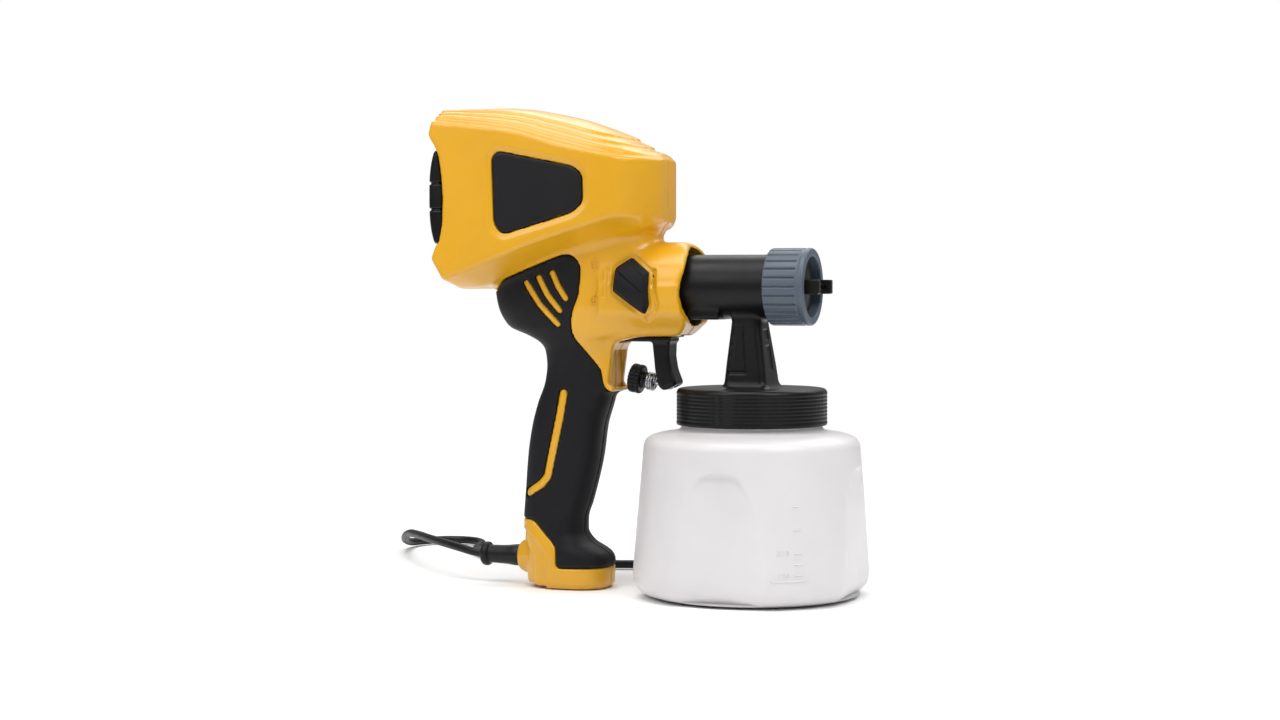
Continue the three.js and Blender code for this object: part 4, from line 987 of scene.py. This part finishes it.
# ---- rear intake cover ----
def build_rear_cover():
    g = Grid((-111.4, -44.4, 181), (-93.4, 44.4, 234.6), 0.5)
    bulge = (g.z - COVER_MID) / COVER_HALF
    back = -109 + 5.6 * (g.y / 42) ** 2 + 3.2 * np.abs(bulge) ** 3
    cover = blend_out(back - g.x, np.abs(g.y) - 42.3, 3)
    cover = blend_out(cover, np.abs(g.z - COVER_MID) - COVER_HALF, 2)
    cover = blend_out(cover, side_outline(g, REAR_TRIM, 2) + 0.35, 1.2)
    inside = blend_out(back + 2.4 - g.x, np.abs(g.y) - 39.9, 3)
    inside = np.maximum(inside, np.abs(g.z - COVER_MID) - 22.5)
    cover = np.maximum(cover, -inside)
    pitch = 6.8
    louvre = np.abs(np.mod(g.z - 188.8 + 0.5 * (g.x + 109), pitch) - pitch / 2) - 1.5
    louvre = np.maximum(np.maximum(louvre, np.abs(g.y) - 33), np.abs(g.z - 208.2) - 20.4)
    bars = np.abs(np.abs(g.y) - 11) - 1.1
    louvre = np.maximum(louvre, -bars)
    cover = blend_out(cover, -np.maximum(louvre, g.x + 102), 0.6)
    for z in (201.2, 215):
        notch = step_down(np.abs(g.z - z), 0.3, 0.9) * step_up(np.abs(g.y), 34, 37)
        cover = cover + 0.9 * notch
    field_piece("rear_cover_moulding", g, cover, "rear_cover", "black_plastic",
                "rear_intake_cover")


build_rear_cover()


# ---- housing screws ----
def build_screws():
    g = Grid((-3.6, -0.6, -3.6), (3.6, 3.4, 3.6), 0.2)
    radial = np.sqrt(g.x ** 2 + g.z ** 2)
    head = blend_out(radial - 3, np.abs(g.y - 1.45) - 1.15, 0.7)
    cross = np.minimum(np.maximum(np.abs(g.x) - 0.45, np.abs(g.z) - 1.9),
                       np.maximum(np.abs(g.z) - 0.45, np.abs(g.x) - 1.9))
    head = np.maximum(head, -np.maximum(cross, 1.3 - g.y))
    head = blend_in(head, np.maximum(radial - 1.4, np.abs(g.y - 0.2) - 0.6), 0.2)
    points, quads = g.surface(head)
    faces = quads.tolist()
    for i, (x, z) in enumerate(SCREWS):
        placed = (points + np.array([x, screw_seat(x, z), z])).tolist()
        add_piece(f"shell_screw_{i + 1}", placed, faces, "root", "steel", [f"housing_screw_{i + 1}"])


build_screws()


# ---- cup ----
CUP_PROFILE = [(0.3, 1.6), (40, 1.6), (44, 0), (51.3, 0), (57.8, 1.9), (61.4, 6), (62.3, 11.5),
               (60.3, 34), (58.2, 57), (56.2, 79.4), (54.2, 82.3), (49.6, 84.2), (38.6, 85.9),
               (36.6, 87.4), (36.6, 104.9), (35.2, 104.9), (35.2, 86.8), (37.6, 84.3),
               (48.6, 82.6), (52.8, 80.8), (54.8, 78.2), (58.9, 34), (60.8, 11.6), (59.8, 7),
               (56.6, 3.4), (50, 3), (0.3, 3)]
CUP_RADII = [0.1, 1, 1.2, 3, 3, 3, 6, 2, 2, 3.2, 3.2, 3, 1.5, 1.2, 0.5, 0.5, 1.2, 1.5, 3, 3, 3, 2,
             6, 3, 3, 1, 0.1]


def finer(profile, longest):
    out = []
    for (ra, ha), (rb, hb) in zip(profile, profile[1:] + profile[:1]):
        parts = max(1, int(math.ceil(math.hypot(rb - ra, hb - ha) / longest)))
        out += [(ra + (rb - ra) * k / parts, ha + (hb - ha) * k / parts) for k in range(parts)]
    return out


CUP_WIDEST, CUP_WIDEST_Z = 62.3, 11.5


def cup_wall(h):
    """Radius of the cup's cone at a height."""
    return CUP_WIDEST - 6.1 * (h - CUP_WIDEST_Z) / 67.9


def cup_panel(angle, r, h):
    """Four flats with arched tops pressed into the cup's cone."""
    if r < 50 or not 2 < h < 76:
        return r
    off = (angle + math.pi / 4) % (math.pi / 2) - math.pi / 4
    plane = 57.2 - 1.9 * (h - 11) / 55 - (CUP_WIDEST - r if h < CUP_WIDEST_Z else 0)
    wall = r - cup_wall(h) if h >= CUP_WIDEST_Z else 0
    plane += min(0, wall)
    side = r * math.sin(off)
    top = 67.5 - 9.5 * (abs(side) / 15.5) ** 3.2
    flat = plane / math.cos(off)
    pressed = min(1, max(0, (top - h) / 2.6))
    pressed = pressed * pressed * (3 - 2 * pressed)
    k = 1.3
    f = max(k - abs(flat - r), 0) / k
    softened = min(flat, r) - f * f * k / 4
    return r + (softened - r) * pressed


def cup_place(r, angle, h):
    return (CUP_X + r * math.cos(angle), r * math.sin(angle), h)


cup_outline = finer(rounded_outline(CUP_PROFILE, CUP_RADII, 4), 1.6)
add_piece("cup_moulding", *revolved(cup_outline, 288, cup_place, cup_panel), "cup", "cup_plastic",
          ["cup"])


def cup_mark(name, strokes, width=0.45):
    """Raised lines on the cup; strokes are lists of (degrees, height)."""
    for i, line in enumerate(strokes):
        points = []
        for (a0, h0), (a1, h1) in zip(line, line[1:]):
            parts = max(1, int(abs(a1 - a0) / 1.5))
            points += [(a0 + (a1 - a0) * k / parts, h0 + (h1 - h0) * k / parts) for k in range(parts)]
        points.append(line[-1])
        placed = [at(*cup_place(cup_wall(h) + 0.02, math.radians(a), h)) for a, h in points]
        add_tube(f"{name}_{i + 1}", placed, width / 1000, 3, "cup", "cup_plastic")


DIGITS = {"1": [[(0.3, 1), (0.5, 1.2), (0.5, 0)]],
          "2": [[(0, 1), (0.3, 1.2), (0.8, 1.1), (0.8, 0.75), (0, 0), (0.85, 0)]],
          "3": [[(0, 1.2), (0.8, 1.2), (0.4, 0.7), (0.8, 0.5), (0.7, 0.1), (0, 0)]],
          "0": [[(0.1, 0.2), (0.1, 1), (0.4, 1.2), (0.7, 1), (0.7, 0.2), (0.4, 0), (0.1, 0.2)]]}


def cup_number(name, text, angle, height, size=1.9):
    strokes = []
    for i, digit in enumerate(text):
        for line in DIGITS[digit]:
            strokes.append([(angle + (x + 1.25 * i) * size * 0.95, height + z * size)
                            for x, z in line])
    cup_mark(name, strokes, 0.2)


for i, (height, length) in enumerate([(17.3, 3.6), (22.8, 3.6), (28.2, 3.6), (39.6, 3.6), (51.4, 3)]):
    cup_mark(f"cup_tick_{i + 1}", [[(-52, height), (-52 + length, height)]], 0.45)
cup_mark("cup_scale_foot", [[(-64, 15.6), (-63, 14.4), (-46.5, 14.4), (-45.5, 15.6)]], 0.4)
cup_number("cup_number_low", "100", -60.5, 16.4)
cup_number("cup_number_mid", "200", -60.5, 27.3)


# ---- strain relief, plug and pins ----
RELIEF_PROFILE = [(2.32, -60), (5.2, -59.6), (5.8, -60.6), (5.8, -71.4), (5.2, -76), (5, -80),
                  (4.9, -86), (5, -86.6), (6.3, -87.2), (6.6, -88.6), (6.3, -90.4), (4.8, -91.4),
                  (2.32, -91.4)]
relief = finer(rounded_outline(RELIEF_PROFILE, 0.7, 4), 1.5)
add_piece("lead_strain_relief", *revolved(relief, 56, about_x(0, LEAD_Z)), "root", "cord_rubber",
          ["strain_relief"])


PIN_SIDES = (-9.5, 9.5)


def build_plug():
    y0 = PLUG_Y
    g = Grid((PLUG_X - 2, y0 - 15, PLUG_Z - 8.4), (PLUG_X + 38, y0 + 15, PLUG_Z + 8.4), 0.45)
    outline = outline_field(rounded_outline(
        [(PLUG_X, -4.5), (PLUG_X + 9, -6), (PLUG_X + 16, -12.6), (PLUG_X + 34, -12.6),
         (PLUG_X + 36, -11), (PLUG_X + 36, 11), (PLUG_X + 34, 12.6), (PLUG_X + 16, 12.6),
         (PLUG_X + 9, 6), (PLUG_X, 4.5)], 3), g.x, g.y - y0)
    plug = blend_out(outline, np.abs(g.z - PLUG_Z) - 6.6, 3.4)
    for x in (3, 6, 9):
        plug = plug + 0.7 * step_down(np.abs(g.x - PLUG_X - x), 0.3, 0.9)
    grip_area = np.maximum(np.abs(g.x - PLUG_X - 25) - 6, np.abs(g.y - y0) - 8)
    ribs = 0.5 * (0.5 + 0.5 * np.cos(g.x * 2 * math.pi / 2.4)) * step_down(grip_area, -0.6, 0.2)
    plug = plug + ribs
    for y in PIN_SIDES:
        hole = np.sqrt((g.y - y0 - y) ** 2 + (g.z - PLUG_Z) ** 2) - 2.2
        plug = np.maximum(plug, -np.maximum(hole, PLUG_X + 30 - g.x))
    field_piece("plug_moulding", g, plug, "root", "cord_rubber", "mains_plug")
    for i, y in enumerate(PIN_SIDES):
        pin = rounded_outline([(0.02, PLUG_X + 30.3), (2, PLUG_X + 30.3), (2, PLUG_X + 55),
                               (0.02, PLUG_X + 55)], [0.1, 0.1, 1.4, 0.1], 5)
        add_piece(f"brass_pin_{i + 1}", *revolved(pin, 32, about_x(y0 + y, PLUG_Z)), "root",
                  "brass", [f"plug_pin_{i + 1}"], 40)


build_plug()


# ---- CAD pieces that stay ----
for node, slot in {s["node"]: s["material_slot"] for s in frame["record"]["subparts"]}.items():
    for place in bpy.data.objects[node].material_slots:
        place.material = FINISH[slot]


# ---- floor and light ----
FLOOR_SIZE = 1.7
ROOM_LIGHT = 0.3                 # of the white surroundings, apart from what the camera sees


def make_stage():
    bpy.ops.mesh.primitive_plane_add(size=FLOOR_SIZE, location=(0, 0, -0.0005))
    floor = bpy.context.object
    floor.name = "floor"
    n = Nodes("floor")
    paper = n.mix(n.span(n.noise(3, 3), 0, 1), (0.90, 0.90, 0.90), (0.93, 0.93, 0.93))
    floor.data.materials.append(n.finish(paper, n.span(n.noise(20, 4), 0.55, 0.65)))
    world = bpy.data.worlds.new("studio")
    world.use_nodes = True
    tree = world.node_tree
    seen = tree.nodes["Background"]
    seen.inputs["Color"].default_value = (1, 1, 1, 1)
    room = tree.nodes.new("ShaderNodeBackground")
    room.inputs["Color"].default_value = (1, 1, 1, 1)
    room.inputs["Strength"].default_value = ROOM_LIGHT
    either = tree.nodes.new("ShaderNodeMixShader")
    tree.links.new(tree.nodes.new("ShaderNodeLightPath").outputs["Is Camera Ray"], either.inputs["Fac"])
    tree.links.new(room.outputs["Background"], either.inputs[1])
    tree.links.new(seen.outputs["Background"], either.inputs[2])
    tree.links.new(either.outputs["Shader"], tree.nodes["World Output"].inputs["Surface"])
    bpy.context.scene.world = world
    bpy.context.scene.view_settings.view_transform = "Standard"


def overhead(strength, toward, spread):
    data = bpy.data.lights.new("overhead", "SUN")
    data.energy = strength
    data.angle = math.radians(spread)
    light = bpy.data.objects.new("overhead", data)
    light.rotation_euler = Vector(toward).to_track_quat("-Z", "Y").to_euler()
    bpy.context.collection.objects.link(light)


def softbox(name, place, aim, size, power):
    data = bpy.data.lights.new(name, "AREA")
    data.shape = "RECTANGLE"
    data.size, data.size_y = size
    data.energy = power
    light = bpy.data.objects.new(name, data)
    light.location = place
    light.rotation_euler = (Vector(aim) - Vector(place)).to_track_quat("-Z", "Y").to_euler()
    bpy.context.collection.objects.link(light)


make_stage()
overhead(1.75, (0.1, 0.25, -0.96), 40)
softbox("key", (-0.35, -0.6, 0.6), (-0.03, 0, 0.22), (0.5, 0.4), 1.9)
softbox("side", (0.6, -0.35, 0.75), (0.02, 0, 0.22), (0.4, 0.4), 3.6)
softbox("backdrop", (0.1, 1.0, 1.2), (0, 0.1, 0.1), (2.4, 0.9), 14)

bpy.context.view_layer.update()
